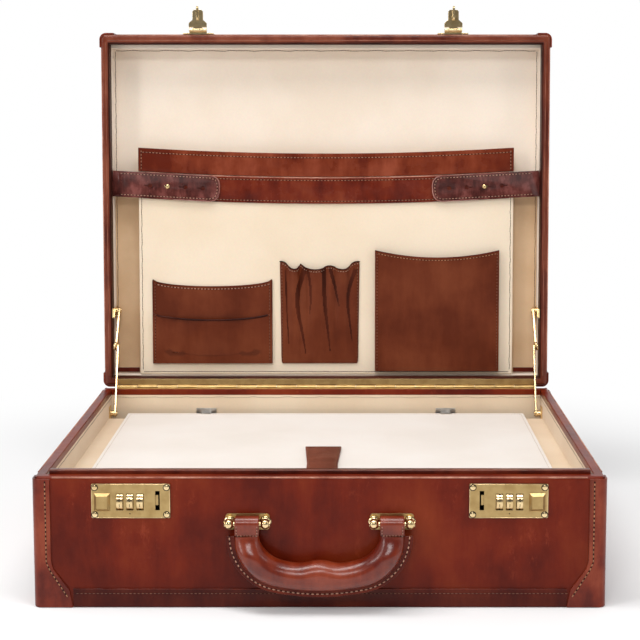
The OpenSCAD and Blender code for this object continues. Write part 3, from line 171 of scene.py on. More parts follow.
# The outer cover of the base: four walls of glossy chestnut hide, glued round the wooden box and
# turned in under the rim. It is cut out for the lock cases and for the leaf of the hinge.
def only(piece):
    """Selects one piece alone and makes it active."""
    bpy.ops.object.select_all(action="DESELECT")
    piece.select_set(True)
    bpy.context.view_layer.objects.active = piece


def add_modifier(piece, kind, **settings):
    """Adds a modifier with its settings and makes it part of the piece's mesh."""
    modifier = piece.modifiers.new(kind.lower(), kind)
    for key, value in settings.items():
        setattr(modifier, key, value)
    only(piece)
    bpy.ops.object.modifier_apply(modifier=modifier.name)


def in_edit(piece, *steps):
    """Runs mesh operators, each given with its settings, on the whole of a piece."""
    only(piece)
    bpy.ops.object.mode_set(mode="EDIT")
    for operator, settings in steps:
        bpy.ops.mesh.select_all(action="SELECT")
        operator(**settings)
    bpy.ops.object.mode_set(mode="OBJECT")


face_outward = (bpy.ops.mesh.normals_make_consistent, {"inside": False})


def pick(piece, kind, test):
    """Leaves the piece in edit mode with what passes the test selected, by its place in mm."""
    only(piece)
    bpy.ops.object.mode_set(mode="EDIT")
    bpy.ops.mesh.select_mode(type=kind)
    bpy.ops.mesh.select_all(action="DESELECT")
    bpy.ops.object.mode_set(mode="OBJECT")
    mesh = piece.data
    if kind == "VERT":
        for v in mesh.vertices:
            v.select = test(v.co / mm)
    if kind == "EDGE":
        for e in mesh.edges:
            a, b = (mesh.vertices[i].co / mm for i in e.vertices)
            e.select = test(a, b)
    if kind == "FACE":
        for f in mesh.polygons:
            f.select = test(f.center / mm, f.normal)
    bpy.ops.object.mode_set(mode="EDIT")


def smooth(piece, angle):
    """Smooth shading except over edges sharper than the angle."""
    only(piece)
    bpy.ops.object.shade_smooth_by_angle(angle=math.radians(angle))


def even_shading(piece, angle=35):
    """Smooth shading whose flat faces stay flat up to their rounded edges."""
    smooth(piece, angle)
    add_modifier(piece, "WEIGHTED_NORMAL", keep_sharp=True)


def colour_piece(piece, material, slot, *nodes):
    """Gives the piece its finish and hides the CAD nodes that it stands for. The slot is not used."""
    piece.data.materials.clear()
    piece.data.materials.append(material)
    if nodes:
        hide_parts(*nodes)


def finish_piece(piece, body, material, slot, *nodes):
    """Finishes a piece that rides on one body."""
    colour_piece(piece, material, slot, *nodes)
    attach(piece, body)


def shades(tree, share, *stops):
    """The colour that a pattern picks from stops, each a position and a colour."""
    ramp = add_node(tree, "ValToRGB", {"Fac": share})
    colours = ramp.color_ramp.elements
    for i, (position, colour) in ((0, stops[0]), (1, stops[-1])):
        colours[i].position = position
        colours[i].color = (*colour, 1)
    for position, colour in stops[1:-1]:
        colours.new(position).color = (*colour, 1)
    return ramp.outputs["Color"]


def noise(tree, place, scale, detail=2.0, roughness=0.5, stretch=None):
    """The value of a cloudy pattern over the piece."""
    if stretch:
        place = add_node(tree, "Mapping", {"Scale": stretch, "Vector": place}).outputs["Vector"]
    inputs = {"Scale": scale, "Detail": detail, "Roughness": roughness, "Vector": place}
    return add_node(tree, "TexNoise", inputs).outputs["Fac"]


def ranged(tree, value, low=0.0, high=1.0, to_low=0.0, to_high=1.0):
    """A value's share between two levels, brought to two others."""
    inputs = {"Value": value, "From Min": low, "From Max": high, "To Min": to_low, "To Max": to_high}
    return add_node(tree, "MapRange", inputs).outputs["Result"]


def bumped(tree, height, strength, depth, under=None):
    """The surface direction that a pattern's relief gives, depth in mm, over another relief where given."""
    bump = add_node(tree, "Bump", {"Height": height, "Strength": strength, "Distance": depth * mm})
    if under:
        tree.links.new(under, bump.inputs["Normal"])
    return bump.outputs["Normal"]


def mixed(tree, share, a, b, kind="RGBA"):
    """Two colours, or two values, mixed."""
    return add_node(tree, "Mix", {"Factor": share, "A": a, "B": b}, data_type=kind).outputs["Result"]


def leather(name, dark, mid, light, mottle, rough=0.34, coat=0.12, grain=0.4, polish=0.1, waves=1.1,
            scuffed=0.0):
    """Glazed hide: cloudy dye, pores, faint streaks, darker rubbed edges and, where asked, pale scuffs."""
    material, tree, shader, place = new_finish(name)
    cloud = noise(tree, place, mottle, 5, 0.55)
    streak = noise(tree, place, mottle * 2.2, 4, 0.6, (2.2, 1, 0.55))
    dye = shades(tree, mixed(tree, 0.28, cloud, streak, "FLOAT"), (0.4, dark), (0.5, mid), (0.62, light))

    scratches = ranged(tree, noise(tree, place, 75, 9, 0.8, (1.6, 1, 0.8)), 0.56, 0.68)
    patches = ranged(tree, noise(tree, place, 9, 2, 0.5), 0.5, 0.66, 0, scuffed)
    scuffs = add_node(tree, "Math", {0: scratches, 1: patches}, operation="MULTIPLY").outputs[0]
    pale_shade = (*(min(1, c * 2.1 + 0.02) for c in light), 1)
    pale = mixed(tree, scuffs, dye, pale_shade)
    edges = add_node(tree, "NewGeometry", {}).outputs["Pointiness"]
    rubbed = ranged(tree, edges, 0.53, 0.62, 0, 0.45)
    worn_shade = (*(c * 0.35 for c in dark), 1)
    worn = mixed(tree, rubbed, pale, worn_shade)

    pores = add_node(tree, "TexVoronoi", {"Scale": 850, "Vector": place}).outputs["Distance"]
    uneven = bumped(tree, noise(tree, place, 38, 2, 0.5), 0.6, waves, bumped(tree, pores, grain, 0.12))
    wire(tree, shader, {
        "Base Color": worn, "Roughness": ranged(tree, cloud, 0.3, 0.7, rough - 0.06, rough + 0.08),
        "Specular IOR Level": 0.12, "Coat Weight": coat, "Coat Roughness": polish,
        "Normal": uneven, "Coat Normal": uneven})
    return material


chestnut = leather("chestnut", (0.088, 0.006, 0.001), (0.145, 0.012, 0.002), (0.20, 0.026, 0.005),
                   mottle=11, coat=0.08, scuffed=0.35)


def block(name, low, high):
    """A box between two corners in mm, its place in its mesh."""
    bpy.ops.object.select_all(action="DESELECT")
    bpy.ops.mesh.primitive_cube_add(size=1)
    piece = bpy.context.object
    piece.name = name
    piece.scale = [(b - a) * mm for a, b in zip(low, high)]
    piece.location = [(a + b) / 2 * mm for a, b in zip(low, high)]
    bpy.ops.object.transform_apply()
    return piece


def rounded_edges(piece, offset, test, segments=4):
    """Rounds the chosen edges of a piece, offset in mm."""
    pick(piece, "EDGE", test)
    bpy.ops.mesh.bevel(offset=offset * mm, segments=segments, affect="EDGES", clamp_overlap=True)
    bpy.ops.object.mode_set(mode="OBJECT")


def drop_faces(piece, test):
    """Takes the faces that pass the test off a piece."""
    pick(piece, "FACE", test)
    bpy.ops.mesh.delete(type="FACE")
    bpy.ops.object.mode_set(mode="OBJECT")


def cut_by(piece, cutter):
    """Cuts one piece out of another."""
    add_modifier(piece, "BOOLEAN", operation="DIFFERENCE", object=cutter)
    bpy.data.objects.remove(cutter)


def cut_away(piece, *boxes):
    """Cuts boxes, each given by its two corners in mm, out of a piece."""
    for low, high in boxes:
        cut_by(piece, block("cutter", low, high))


def give_thickness(piece, thick):
    """Makes a shell thick, inward, in mm."""
    in_edit(piece, face_outward)
    add_modifier(piece, "SOLIDIFY", thickness=thick * mm, offset=-1, use_even_offset=True)


cover_x, cover_y = 223.5, 176
hide_thick = 1.5
rim_width, front_rim_less = 8.3, 1.5
inner_x, inner_y = 216, 168


def turned_cover(name, rim, far, turn, roll=2.6, lip=1.1):
    """The hide round one half of the case, from its turned rim to the far level, in mm."""
    piece = block(name, (-cover_x, -cover_y, min(rim, far)), (cover_x, cover_y, max(rim, far)))
    into = 1 if far > rim else -1

    def inner(p):
        return abs(p.z - rim) < 0.01 and abs(p.x) < inner_x and abs(p.y) < inner_y

    def outer(p):
        return abs(p.x) > cover_x - 0.5 or abs(p.y) > cover_y - 0.5

    pick(piece, "FACE", lambda c, n: abs(c.z - rim) < 0.01)
    bpy.ops.mesh.inset(thickness=rim_width * mm)
    bpy.ops.mesh.delete(type="ONLY_FACE")
    bpy.ops.object.mode_set(mode="OBJECT")
    pick(piece, "VERT", lambda p: inner(p) and p.y < 0)
    bpy.ops.transform.translate(value=(0, front_rim_less * mm, 0))
    bpy.ops.object.mode_set(mode="OBJECT")
    pick(piece, "EDGE", lambda a, b: inner(a) and inner(b))
    bpy.ops.mesh.extrude_region_move(TRANSFORM_OT_translate={"value": (0, 0, into * turn * mm)})
    bpy.ops.object.mode_set(mode="OBJECT")
    rounded_edges(piece, 5, lambda a, b: abs(a.z - b.z) > 20 and min(abs(a.x), abs(b.x)) > cover_x - 0.5, 8)
    rounded_edges(
        piece, roll, lambda a, b: abs(a.z - rim) + abs(b.z - rim) < 0.01 and outer(a) and outer(b), 6)
    rounded_edges(piece, lip, lambda a, b: inner(a) and inner(b))
    return piece


cover = turned_cover("base_cover", 105, 1.5, 5.7)
drop_faces(cover, lambda c, n: n.z < -0.9 and c.z < 2)
give_thickness(cover, hide_thick)
case_low, case_high = (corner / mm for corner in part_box("lock_cases"))
inboard = min(abs(v.co.x) for v in frame["nodes"]["lock_cases"].data.vertices) / mm
for x0, x1 in ((-case_high.x, -inboard), (inboard, case_high.x)):
    cut_away(cover, ((x0, -178, case_low.z), (x1, -170, case_high.z)))
cut_away(cover, ((-210.2, 169.0, 104.1), (210.2, 180, 107)))
even_shading(cover)
finish_piece(cover, "base", chestnut, "leather_main", "base_leather", "base_rim")


# The bottom edge is bound by a strip of the same hide, folded under and stitched, and a flat panel of
# leather closes the underside. Both are coloured darker than the walls.
def softened(piece, edge, segments=3, angle=40, clamp=True):
    """Rounds every sharp edge of a piece, edge in mm, and shades it evenly."""
    add_modifier(piece, "BEVEL", width=edge * mm, segments=segments, limit_method="ANGLE",
                 angle_limit=math.radians(angle), use_clamp_overlap=clamp)
    even_shading(piece)
    return piece


def worked(node, name, edge, segments=3):
    """A copy of a CAD node as one clean mesh with its sharp edges rounded, edge in mm."""
    piece = frame["nodes"][node].copy()
    piece.data = piece.data.copy()
    piece.name = name
    piece.parent = None
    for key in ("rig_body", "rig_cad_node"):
        del piece[key]
    scene.collection.objects.link(piece)
    in_edit(piece,
            (bpy.ops.mesh.remove_doubles, {"threshold": 0.002 * mm}),
            (bpy.ops.mesh.tris_convert_to_quads,
             {"face_threshold": math.radians(1), "shape_threshold": math.radians(60)}),
            face_outward)
    if edge:
        softened(piece, edge, segments, 30, False)
    else:
        even_shading(piece)
    return piece


def dressed(node, name, edge, body, material, slot, segments=3):
    """A CAD node's own shape, worked and finished, in the node's place."""
    finish_piece(worked(node, name, edge, segments), body, material, slot, node)


dark_chestnut = leather("dark_chestnut", (0.06, 0.004, 0.001), (0.10, 0.009, 0.002), (0.15, 0.02, 0.006), 22)
dressed("base_edge_binding", "base_binding", 0.3, "base", dark_chestnut, "leather_dark")
dressed("base_bottom_panel", "base_underside", 0.5, "base", dark_chestnut, "leather_dark")


def thread_material(name, colour):
    """Waxed linen thread: a slight change of shade along it and a twisted surface."""
    material, tree, shader, place = new_finish(name)
    faded = [c * 0.6 for c in colour]
    wire(tree, shader, {
        "Base Color": shades(tree, noise(tree, place, 160), (0.35, faded), (0.65, colour)),
        "Normal": bumped(tree, noise(tree, place, 3000), 0.4, 0.1), "Roughness": 0.6})
    return material


def line_through(name, points):
    """A drawn line through points in mm, as a curve of straight spans."""
    bpy.ops.object.select_all(action="DESELECT")
    bpy.ops.curve.primitive_nurbs_path_add()
    line = bpy.context.object
    line.name = name
    bpy.ops.object.mode_set(mode="EDIT")
    bpy.ops.curve.select_all(action="SELECT")
    bpy.ops.curve.delete(type="VERT")
    for p in points:
        bpy.ops.curve.vertex_add(location=[c * mm for c in p])
    bpy.ops.curve.select_all(action="SELECT")
    bpy.ops.curve.spline_type_set(type="POLY")
    bpy.ops.object.mode_set(mode="OBJECT")
    return line


def joined(name, pieces):
    """Several meshes made one."""
    only(pieces[0])
    for piece in pieces:
        piece.select_set(True)
    if len(pieces) > 1:
        bpy.ops.object.join()
    whole = bpy.context.object
    whole.name = name
    return whole


def stitching(name, lines, pitch=2.7, length=1.9, thick=0.55, rise=0.5, start=0.5):
    """Rows of stitches along lines in mm. rise flattens them, start is the first's place in its pitch."""
    rows = []
    for points in lines:
        line = line_through("row", points)
        bpy.ops.mesh.primitive_uv_sphere_add(segments=6, ring_count=5, radius=0.5)
        row = bpy.context.object
        row.rotation_euler = (0, math.radians(90), 0)
        bpy.ops.object.transform_apply()
        row.scale = (length * mm, thick * mm, thick * rise * mm * 2)
        row.location = (pitch * start * mm, 0, 0)
        bpy.ops.object.transform_apply()
        add_modifier(row, "ARRAY", fit_type="FIT_CURVE", curve=line, use_relative_offset=False,
                     use_constant_offset=True, constant_offset_displace=(pitch * mm, 0, 0))
        add_modifier(row, "CURVE", object=line)
        bpy.data.objects.remove(line)
        rows.append(row)
    piece = joined(name, rows)
    smooth(piece, 80)
    return piece


# Near-black beads between the stitches paint the shade in the stitch holes.
stitch_hole_shade = leather("stitch_hole_shade", (0.012, 0.003, 0.002), (0.02, 0.005, 0.003), (0.03, 0.008, 0.005),
                   mottle=90, rough=0.6, coat=0.0)


def sewn(name, lines, thread, body, slot, opened=None, pitch=3.2, length=2.1, thick=0.75, deep=0.9):
    """Rows of stitches in mm, with near-black beads between them that paint the shade in the holes."""
    sewing = stitching(name, lines, pitch, length, thick)
    holes = stitching(f"{name}_holes", lines, pitch, (pitch - length) * 1.3, thick * deep, 0.25, 0.02)
    for piece, material in ((sewing, thread), (holes, stitch_hole_shade)):
        if opened:
            opened(piece)
        finish_piece(piece, body, material, slot)


def run(a, b, steps=24, wave=0.0, axis=2):
    """Points in mm from a to b, waving a little as hand sewing does."""
    points = []
    for i in range(steps + 1):
        p = [u + (v - u) * i / steps for u, v in zip(a, b)]
        p[axis] += wave * math.sin(i * 1.7) * math.sin(i * 0.61)
        points.append(p)
    return points


def on_both_sides(points):
    """A row of points in mm on the left side of the case and the same row on its right."""
    return [[(side * x, y, z) for x, y, z in points] for side in (-1, 1)]


binding_z = 11.5
binding_face, binding_side = 177.0, 224.5
binding_rows = [run((-192, y, binding_z), (192, y, binding_z)) for y in (-binding_face, binding_face)]
binding_rows += on_both_sides(run((binding_side, -146, binding_z), (binding_side, 146, binding_z)))
binding_brown = thread_material("binding_brown", (0.20, 0.07, 0.035))
sewn("base_binding_thread", binding_rows, binding_brown, "base", "leather_dark", thick=0.6)


# A cap of thicker hide wraps each standing corner. It spreads out at the foot and is sewn down along
# its curved inner edge with a row of light brown stitches.
cap_leather = leather("cap_leather", (0.085, 0.007, 0.002), (0.165, 0.019, 0.006), (0.25, 0.045, 0.018),
                      mottle=22, coat=0.3, scuffed=0.4)
dressed("base_corner_caps", "base_caps", 0.5, "base", cap_leather, "leather_dark")
cap_face, cap_side, wider_than_deep = 177.65, 225.15, 47.5
cap_seam = [(214.3, 101), (214.3, 37), (211.4, 30), (198.5, 9.5)]
cap_rows = []
for side_x in (-1, 1):
    for side_y in (-1, 1):
        cap_rows.append([(side_x * x, side_y * cap_face, z) for x, z in cap_seam])
        cap_rows.append([(side_x * cap_side, side_y * (x - wider_than_deep), z) for x, z in cap_seam])
tan_thread = thread_material("tan_thread", (0.42, 0.20, 0.09))
sewn("base_cap_thread", cap_rows, tan_thread, "base", "leather_dark",
     pitch=3.6, length=2.2, thick=1.0, deep=1.1)


# Inside the front edge of the rim stands a tongue of wood covered in darker hide, which the lid shuts
# over. It is rounded along its top. Pale beads along the rounded edges of the hides are painted highlights.
rim_leather = leather("rim_leather", (0.05, 0.004, 0.001), (0.09, 0.009, 0.003), (0.15, 0.022, 0.008),
                      mottle=24, coat=0.4, grain=0.3)
dressed("base_front_lip", "base_tongue", 1.1, "base", rim_leather, "leather_dark")
edge_highlight = leather("edge_highlight", (0.30, 0.085, 0.05), (0.44, 0.17, 0.11), (0.60, 0.29, 0.20),
                   mottle=45, rough=0.3, coat=0.3)


def round_bar(name, points, radius, resolution=2):
    """A round bar along a line in mm, its ends closed."""
    drawn = line_through(name, points)
    drawn.data.bevel_depth = radius * mm
    drawn.data.bevel_resolution = resolution
    drawn.data.use_fill_caps = True
    bpy.ops.object.convert(target="MESH")
    return bpy.context.object


def burnished_edge(name, lines, radius, material, body, slot, opened=None):
    """A thin round bead along lines in mm, in a finish lighter or darker than the piece that it lies on."""
    whole = joined(name, [round_bar("bead", points, radius) for points in lines])
    smooth(whole, 60)
    if opened:
        opened(whole)
    finish_piece(whole, body, material, slot)


# The pale bead along the rim's rounded outer edge is a painted highlight.
rim_bead_x, rim_bead_z, front_bead_z = 222.75, 104.3, 104.25
burnished_edge(
    "base_rim_edge",
    [run((-209, -175.3, front_bead_z), (209, -175.3, front_bead_z)),
     *on_both_sides(run((rim_bead_x, -158, rim_bead_z), (rim_bead_x, 160, rim_bead_z), 12))],
    0.75, edge_highlight, "base", "leather_main")
# The lighter bead along the binding's top edge is a painted highlight.
binding_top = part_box("base_edge_binding")[1].z / mm - 0.3
burnished_edge(
    "base_binding_edge",
    [*(run((-194, y, binding_top), (194, y, binding_top), 16) for y in (-176.9, 176.9)),
     *on_both_sides(run((224.3, -147, binding_top), (224.3, 147, binding_top), 8))],
    0.35, cap_leather, "base", "leather_dark")
# The pale bead along the tongue's top is a painted highlight.
burnished_edge("base_tongue_edge", [run((-212, -165.25, 107.55), (212, -165.25, 107.55))], 0.5, edge_highlight,
               "base", "leather_dark")


# The inside is lined with cream suede, glued to the walls and sewn along its top edge. The thread
# wanders a little at the back, where the lining was pulled over the hinge.
def suede(name, shade, body, nap, fine=520):
    """Brushed suede: soft cloudy colour and a short nap."""
    material, tree, shader, place = new_finish(name)
    cloud = noise(tree, place, 11, 5)
    colour = shades(tree, cloud, (0.34, shade), (0.48, body), (0.62, nap))
    fibre = add_node(tree, "TexNoise", {"Scale": fine, "Detail": 3, "Vector": place})
    speck = add_node(tree, "Mix", {"Factor": 0.10, "A": colour, "B": fibre.outputs["Color"]},
                     data_type="RGBA", blend_type="MULTIPLY")
    nap_relief = bumped(tree, fibre.outputs["Fac"], 0.35, 0.15)
    wire(tree, shader, {
        "Base Color": speck.outputs["Result"], "Normal": bumped(tree, cloud, 0.4, 1.5, nap_relief),
        "Roughness": 0.92, "Specular IOR Level": 0.15, "Sheen Weight": 0.25, "Sheen Roughness": 0.5})
    return material


cream = suede("cream_suede", (0.74, 0.57, 0.40), (0.79, 0.62, 0.44), (0.83, 0.67, 0.49))
dressed("base_wall_lining", "base_lining_walls", 0.8, "base", cream, "suede_cream")
dressed("base_floor_lining", "base_lining_floor", 0.4, "base", cream, "suede_cream")
seam_thread = thread_material("seam_thread", (0.14, 0.07, 0.035))
lining_x, lining_y, lining_z = 215.0, 167.5, 96.8
lining_rows = on_both_sides(run((lining_x, -158, lining_z), (lining_x, 166, lining_z), 40, 0.3))
lining_rows.append(run((-213, lining_y, lining_z), (213, lining_y, lining_z), 70, 0.7))
finish_piece(stitching("base_lining_thread", lining_rows, thick=0.5), "base", seam_thread, "suede_cream")


# The document divider: a stiff board covered in off-white suede cloth, its edge folded and sewn. It
# rests on ledges and lifts about its back edge by a leather tab that is sewn to its top.
paper = suede("divider_cloth", (0.84, 0.77, 0.70), (0.87, 0.80, 0.735), (0.89, 0.83, 0.77), fine=700)
dressed("divider", "divider_board", 0.7, "divider", paper, "board_white")
pale_thread = thread_material("pale_thread", (0.62, 0.47, 0.34))
fold_x, fold_y, board_z = 194.3, 153.5, 82.55
divider_rows = [run((x, -154, board_z), (x, 153, board_z), 40, 0.15, 0) for x in (-fold_x, fold_x)]
divider_rows.append(run((-fold_x, fold_y, board_z), (fold_x, fold_y, board_z), 40, 0.15, 1))
finish_piece(stitching("divider_thread", divider_rows, thick=0.45), "divider", pale_thread, "board_white")

tab_leather = leather("tab_leather", (0.13, 0.024, 0.012), (0.19, 0.046, 0.025), (0.25, 0.075, 0.045), 40)
dressed("divider_pull_tab", "pull_tab", 0.5, "divider", tab_leather, "leather_soft")
half_seam = [(-11.4, -75), (-11.4, -48.5), (-14.2, 5.6), (0, 6.6)]
pull_seam = half_seam + [(-x, y) for x, y in reversed(half_seam[:-1])]
pull_brown = thread_material("pull_brown", (0.34, 0.15, 0.085))
sewn("pull_tab_thread", [[(x, y, 84.75) for x, y in pull_seam]], pull_brown, "divider", "leather_soft",
     thick=0.6)
burnished_edge("pull_tab_edge", [[(-16.0, 8.2, 84.4), (0, 8.4, 84.4), (16.0, 8.2, 84.4)]], 0.45,
               dark_chestnut, "divider", "leather_soft")


# The carcass and the ledges that carry the divider show only at edges, and where the divider is up.
# The wood is a plain light one with its grain along the case.
def wood_material(name, dark, light):
    """Bare wood with a long grain."""
    material, tree, shader, place = new_finish(name)
    grain = noise(tree, place, 14, 6, 0.5, (1, 7, 7))
    wire(tree, shader, {
        "Base Color": shades(tree, grain, (0, dark), (1, light)), "Normal": bumped(tree, grain, 1, 0.2),
        "Roughness": 0.7})
    return material


def refinish(material, slot, *nodes):
    """A better material for CAD nodes that show as they are. The slot is not used."""
    for node in nodes:
        mesh = frame["nodes"][node].data
        mesh.materials.clear()
        mesh.materials.append(material)


wood = wood_material("inner_wood", (0.20, 0.11, 0.05), (0.48, 0.32, 0.18))
refinish(wood, "wood_board", "base_carcass", "lid_carcass")
refinish(cream, "suede_cream", "divider_ledges")


# Two combination locks in satin brass: a pressed face plate held by four domed screws, a sliding button
# with bevelled sides, three number dials behind windows and a slot that swallows the hasp's hook.
def metal(name, tone, deep, rough, brushed=(1, 1, 40), scratch=0.35):
    """Satin metal: fine brushing, duller where it has been handled."""
    material, tree, shader, place = new_finish(name)
    brush = noise(tree, place, 90, 4, 0.5, brushed)
    wire(tree, shader, {
        "Metallic": 1.0, "Base Color": shades(tree, noise(tree, place, 120, 3), (0.3, deep), (0.6, tone)),
        "Roughness": ranged(tree, brush, to_low=rough - 0.08, to_high=rough + 0.14),
        "Normal": bumped(tree, brush, scratch, 0.03)})
    return material


brass = metal("satin_brass", (0.52, 0.36, 0.155), (0.42, 0.275, 0.11), 0.3, brushed=(40, 1, 1), scratch=0.2)
bright_brass = metal("bright_brass", (0.88, 0.68, 0.38), (0.70, 0.50, 0.24), 0.17, scratch=0.15)
steel = metal("steel", (0.62, 0.60, 0.57), (0.42, 0.40, 0.38), 0.3)
blackened = metal("blackened_steel", (0.035, 0.028, 0.022), (0.015, 0.012, 0.01), 0.45)


def drawn_edge(name, points):
    """A drawn line through points in mm, as the edges of a mesh."""
    line_through(name, points)
    bpy.ops.object.convert(target="MESH")
    return bpy.context.object


def turned_shape(name, profile, steps=20):
    """A shape turned on a lathe about X. Its profile gives each step along and its radius, in mm."""
    piece = drawn_edge(name, [(along, radius, 0) for along, radius in profile])
    add_modifier(piece, "SCREW", axis="X", steps=steps, render_steps=steps, use_merge_vertices=True,
                 merge_threshold=0.001 * mm)
    in_edit(piece, (bpy.ops.mesh.remove_doubles, {"threshold": 0.001 * mm}), face_outward)
    smooth(piece, 50)
    return piece


def stand(piece, turn):
    """Turns a piece, in degrees about X, Y and Z, about the origin."""
    only(piece)
    piece.rotation_euler = [math.radians(a) for a in turn]
    bpy.ops.object.transform_apply()
    return piece


def moved(piece, place):
    """Moves a piece by a way in mm."""
    only(piece)
    piece.location = [c * mm for c in place]
    bpy.ops.object.transform_apply()
    return piece


def set_out(piece, places):
    """Puts a copy of the piece at each place in mm and joins them."""
    name = piece.name
    made = []
    for place in places:
        only(piece)
        bpy.ops.object.duplicate()
        made.append(bpy.context.object)
        made[-1].location = [c * mm for c in place]
    bpy.data.objects.remove(piece)
    whole = joined(name, made)
    bpy.ops.object.transform_apply()
    return whole


plate_y = -177.5
plates = block("lock_face_plates", (116.55, plate_y, 72.3), (178.45, -176.0, 99.8))
rounded_edges(plates, 1.3, lambda a, b: abs(a.y - b.y) > 1)
rounded_edges(plates, 0.7, lambda a, b: max(a.y, b.y) < plate_y + 0.1, 3)
drop_faces(plates, lambda c, n: n.y > 0.9)
give_thickness(plates, 0.6)
dials_middle, dial_pitch = 148.1, 7.9
dial_xs = [dials_middle + dial_pitch * i for i in (-1, 0, 1)]
windows = [((x - 2.8, -178, 78.65), (x + 2.8, -175, 91.95)) for x in dial_xs]
hook_slot = ((124.75, -178, 78.7), (128.25, -175, 94.1))
button_slot = ((164.3, -178, 82.4), (172.2, -175, 88.2))
cut_away(plates, *windows, hook_slot, button_slot)
add_modifier(plates, "MIRROR")
even_shading(plates, 30)
finish_piece(plates, "base", brass, "brass", "lock_plates")
# A bead of brighter brass round each plate's face paints the highlight on its rounded edge.
plate_outline = [(117.0, 73.6), (117.0, 98.5), (117.9, 99.4), (177.1, 99.4), (178.0, 98.5), (178.0, 73.6),
                 (177.1, 72.7), (117.9, 72.7), (117.0, 73.6)]
burnished_edge("lock_plate_edges", on_both_sides([(x, -177.3, z) for x, z in plate_outline]), 0.32,
               bright_brass, "base", "brass")

to_front = (0, 0, -90)
screw_places = [(side * x, plate_y, z) for side in (-1, 1) for x in (119.45, 175.55) for z in (75.2, 96.9)]
# A blackened ring round each screw head paints the shade in the recess that it sits in.
shade_ring_profile = [(-0.05, 1.8), (0.12, 1.9), (0.12, 2.75), (-0.05, 2.85)]
shade_rings = stand(turned_shape("lock_screw_shade_rings", shade_ring_profile), to_front)
finish_piece(set_out(shade_rings, screw_places), "base", blackened, "brass")
head_profile = [(-7.9, 0), (-7.9, 1), (-0.6, 1), (0.05, 2.1), (0.25, 2.1), (0.5, 1.6), (0.65, 0.8),
                (0.68, 0)]
screw = stand(turned_shape("lock_screw_heads", head_profile), to_front)
cut_away(screw, ((-0.22, -2, -3), (0.22, -0.55, 3)))
finish_piece(set_out(screw, screw_places), "base", bright_brass, "brass", "lock_screws")
pin_profile = [(-0.3, 0), (-0.3, 0.55), (0.1, 0.5), (0.15, 0)]
reset_pin = stand(turned_shape("lock_reset_pins", pin_profile, 10), to_front)
reset_places = [(side * dials_middle, plate_y, 76) for side in (-1, 1)]
finish_piece(set_out(reset_pin, reset_places), "base", blackened, "brass")
refinish(steel, "steel_pin", "dial_axles", "divider_hinge_lugs", "hinge_pin", "hasp_pins")


# A coil spring of steel wire inside each lock pushes its button back. It bears on the lock's case, which
# is of blackened sheet and is let into the front wall behind the plate.
spring_y, spring_z = -165.3, 76.35
coils, coil_pitch, coil_radius, wire_radius = 6, 1.25, 0.75, 0.2
spring_near, spring_far = 148.35, 155.85
for name, side in (("left", -1), ("right", 1)):
    bpy.ops.mesh.primitive_circle_add(vertices=8, radius=wire_radius * mm, location=(0, coil_radius * mm, 0))
    spring = bpy.context.object
    spring.name = f"bolt_spring_{name}"
    bpy.ops.object.transform_apply()
    add_modifier(spring, "SCREW", axis="X", screw_offset=coil_pitch * mm, iterations=coils, steps=14,
                 render_steps=14)
    in_edit(spring, (bpy.ops.mesh.fill_holes, {"sides": 0}), face_outward)
    smooth(spring, 60)
    moved(spring, (spring_near if side > 0 else -spring_far, spring_y, spring_z))
    colour_piece(spring, steel, "steel_pin", "lock_springs")
    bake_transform(spring)
refinish(wood, "wood_board", "handle_core")
refinish(blackened, "brass", "lock_cases")

for name in ("left", "right"):
    button = worked(f"button_{name}", f"slide_button_{name}", 0)
    rounded_edges(button, 2.1, lambda a, b: max(a.y, b.y) < -180.05, 1)
    smooth(button, 20)
    finish_piece(button, f"button_{name}", brass, "brass", f"button_{name}")


# The dials turn on the axle. The digits 0 to 9 are stamped round each and filled with black. They stand
# between 0 and 1.
dial_y, dial_z, dial_radius = -173.0, 85.3, 7.35
digit_step, at_front = 36, 0.45
ink = leather("black_fill", (0.010, 0.009, 0.008), (0.016, 0.014, 0.012), (0.025, 0.022, 0.02),
              mottle=300, rough=0.5, coat=0.05)


def number_ring(name, x):
    """Ten digits round a dial at x in mm."""
    made = []
    for digit in range(10):
        bpy.ops.object.select_all(action="DESELECT")
        bpy.ops.object.text_add()
        figure = bpy.context.object
        figure.data.body = str(digit)
        figure.data.align_x = "CENTER"
        figure.data.align_y = "CENTER"
        figure.data.size = 4.0 * mm
        figure.data.extrude = 0.13 * mm
        figure.data.resolution_u = 3
        bpy.ops.object.convert(target="MESH")
        figure = moved(bpy.context.object, (0, 0, dial_radius - 0.02))
        made.append(stand(figure, (90 + digit_step * (digit - at_front), 0, 0)))
    return moved(joined(name, made), (x, dial_y, dial_z))


for name, side in (("left", -1), ("right", 1)):
    for i, x in enumerate(dial_xs, 1):
        body = f"dial_{name}_{i}"
        dressed(body, f"number_{body}", 0.35, body, bright_brass, "brass")
        finish_piece(number_ring(f"digits_{name}_{i}", side * x), body, ink, "steel_pin")


# The handle hangs from two brass brackets riveted to the front. Each has a pair of ball ended posts
# that carry the pin, and a leather loop turns on the pin between them.
bracket_xs = (-56.4, 56.4)
front_y, pin_z = -176, 69.5
backs = block("handle_bracket_plates", (-17.2, -176.8, 63.0), (17.2, -176.05, 76.0))
rounded_edges(backs, 2.4, lambda a, b: abs(a.y - b.y) > 0.5)
rounded_edges(backs, 0.3, lambda a, b: max(a.y, b.y) < -176.7, 2)
even_shading(backs)
finish_piece(set_out(backs, [(x, 0, 0) for x in bracket_xs]), "base", brass, "brass", "handle_brackets")
post_profile = [(0.6, 0), (0.6, 4.3), (1.2, 4.3), (1.7, 3.4), (2.4, 2.6), (3.4, 2.5), (4.2, 2.9), (5.0, 3.5),
                (6.2, 3.95), (7.6, 4.05), (9.0, 3.85), (10.3, 3.2), (11.2, 2.2), (11.6, 1.1), (11.7, 0)]
posts = stand(turned_shape("handle_ball_posts", post_profile, 24), to_front)
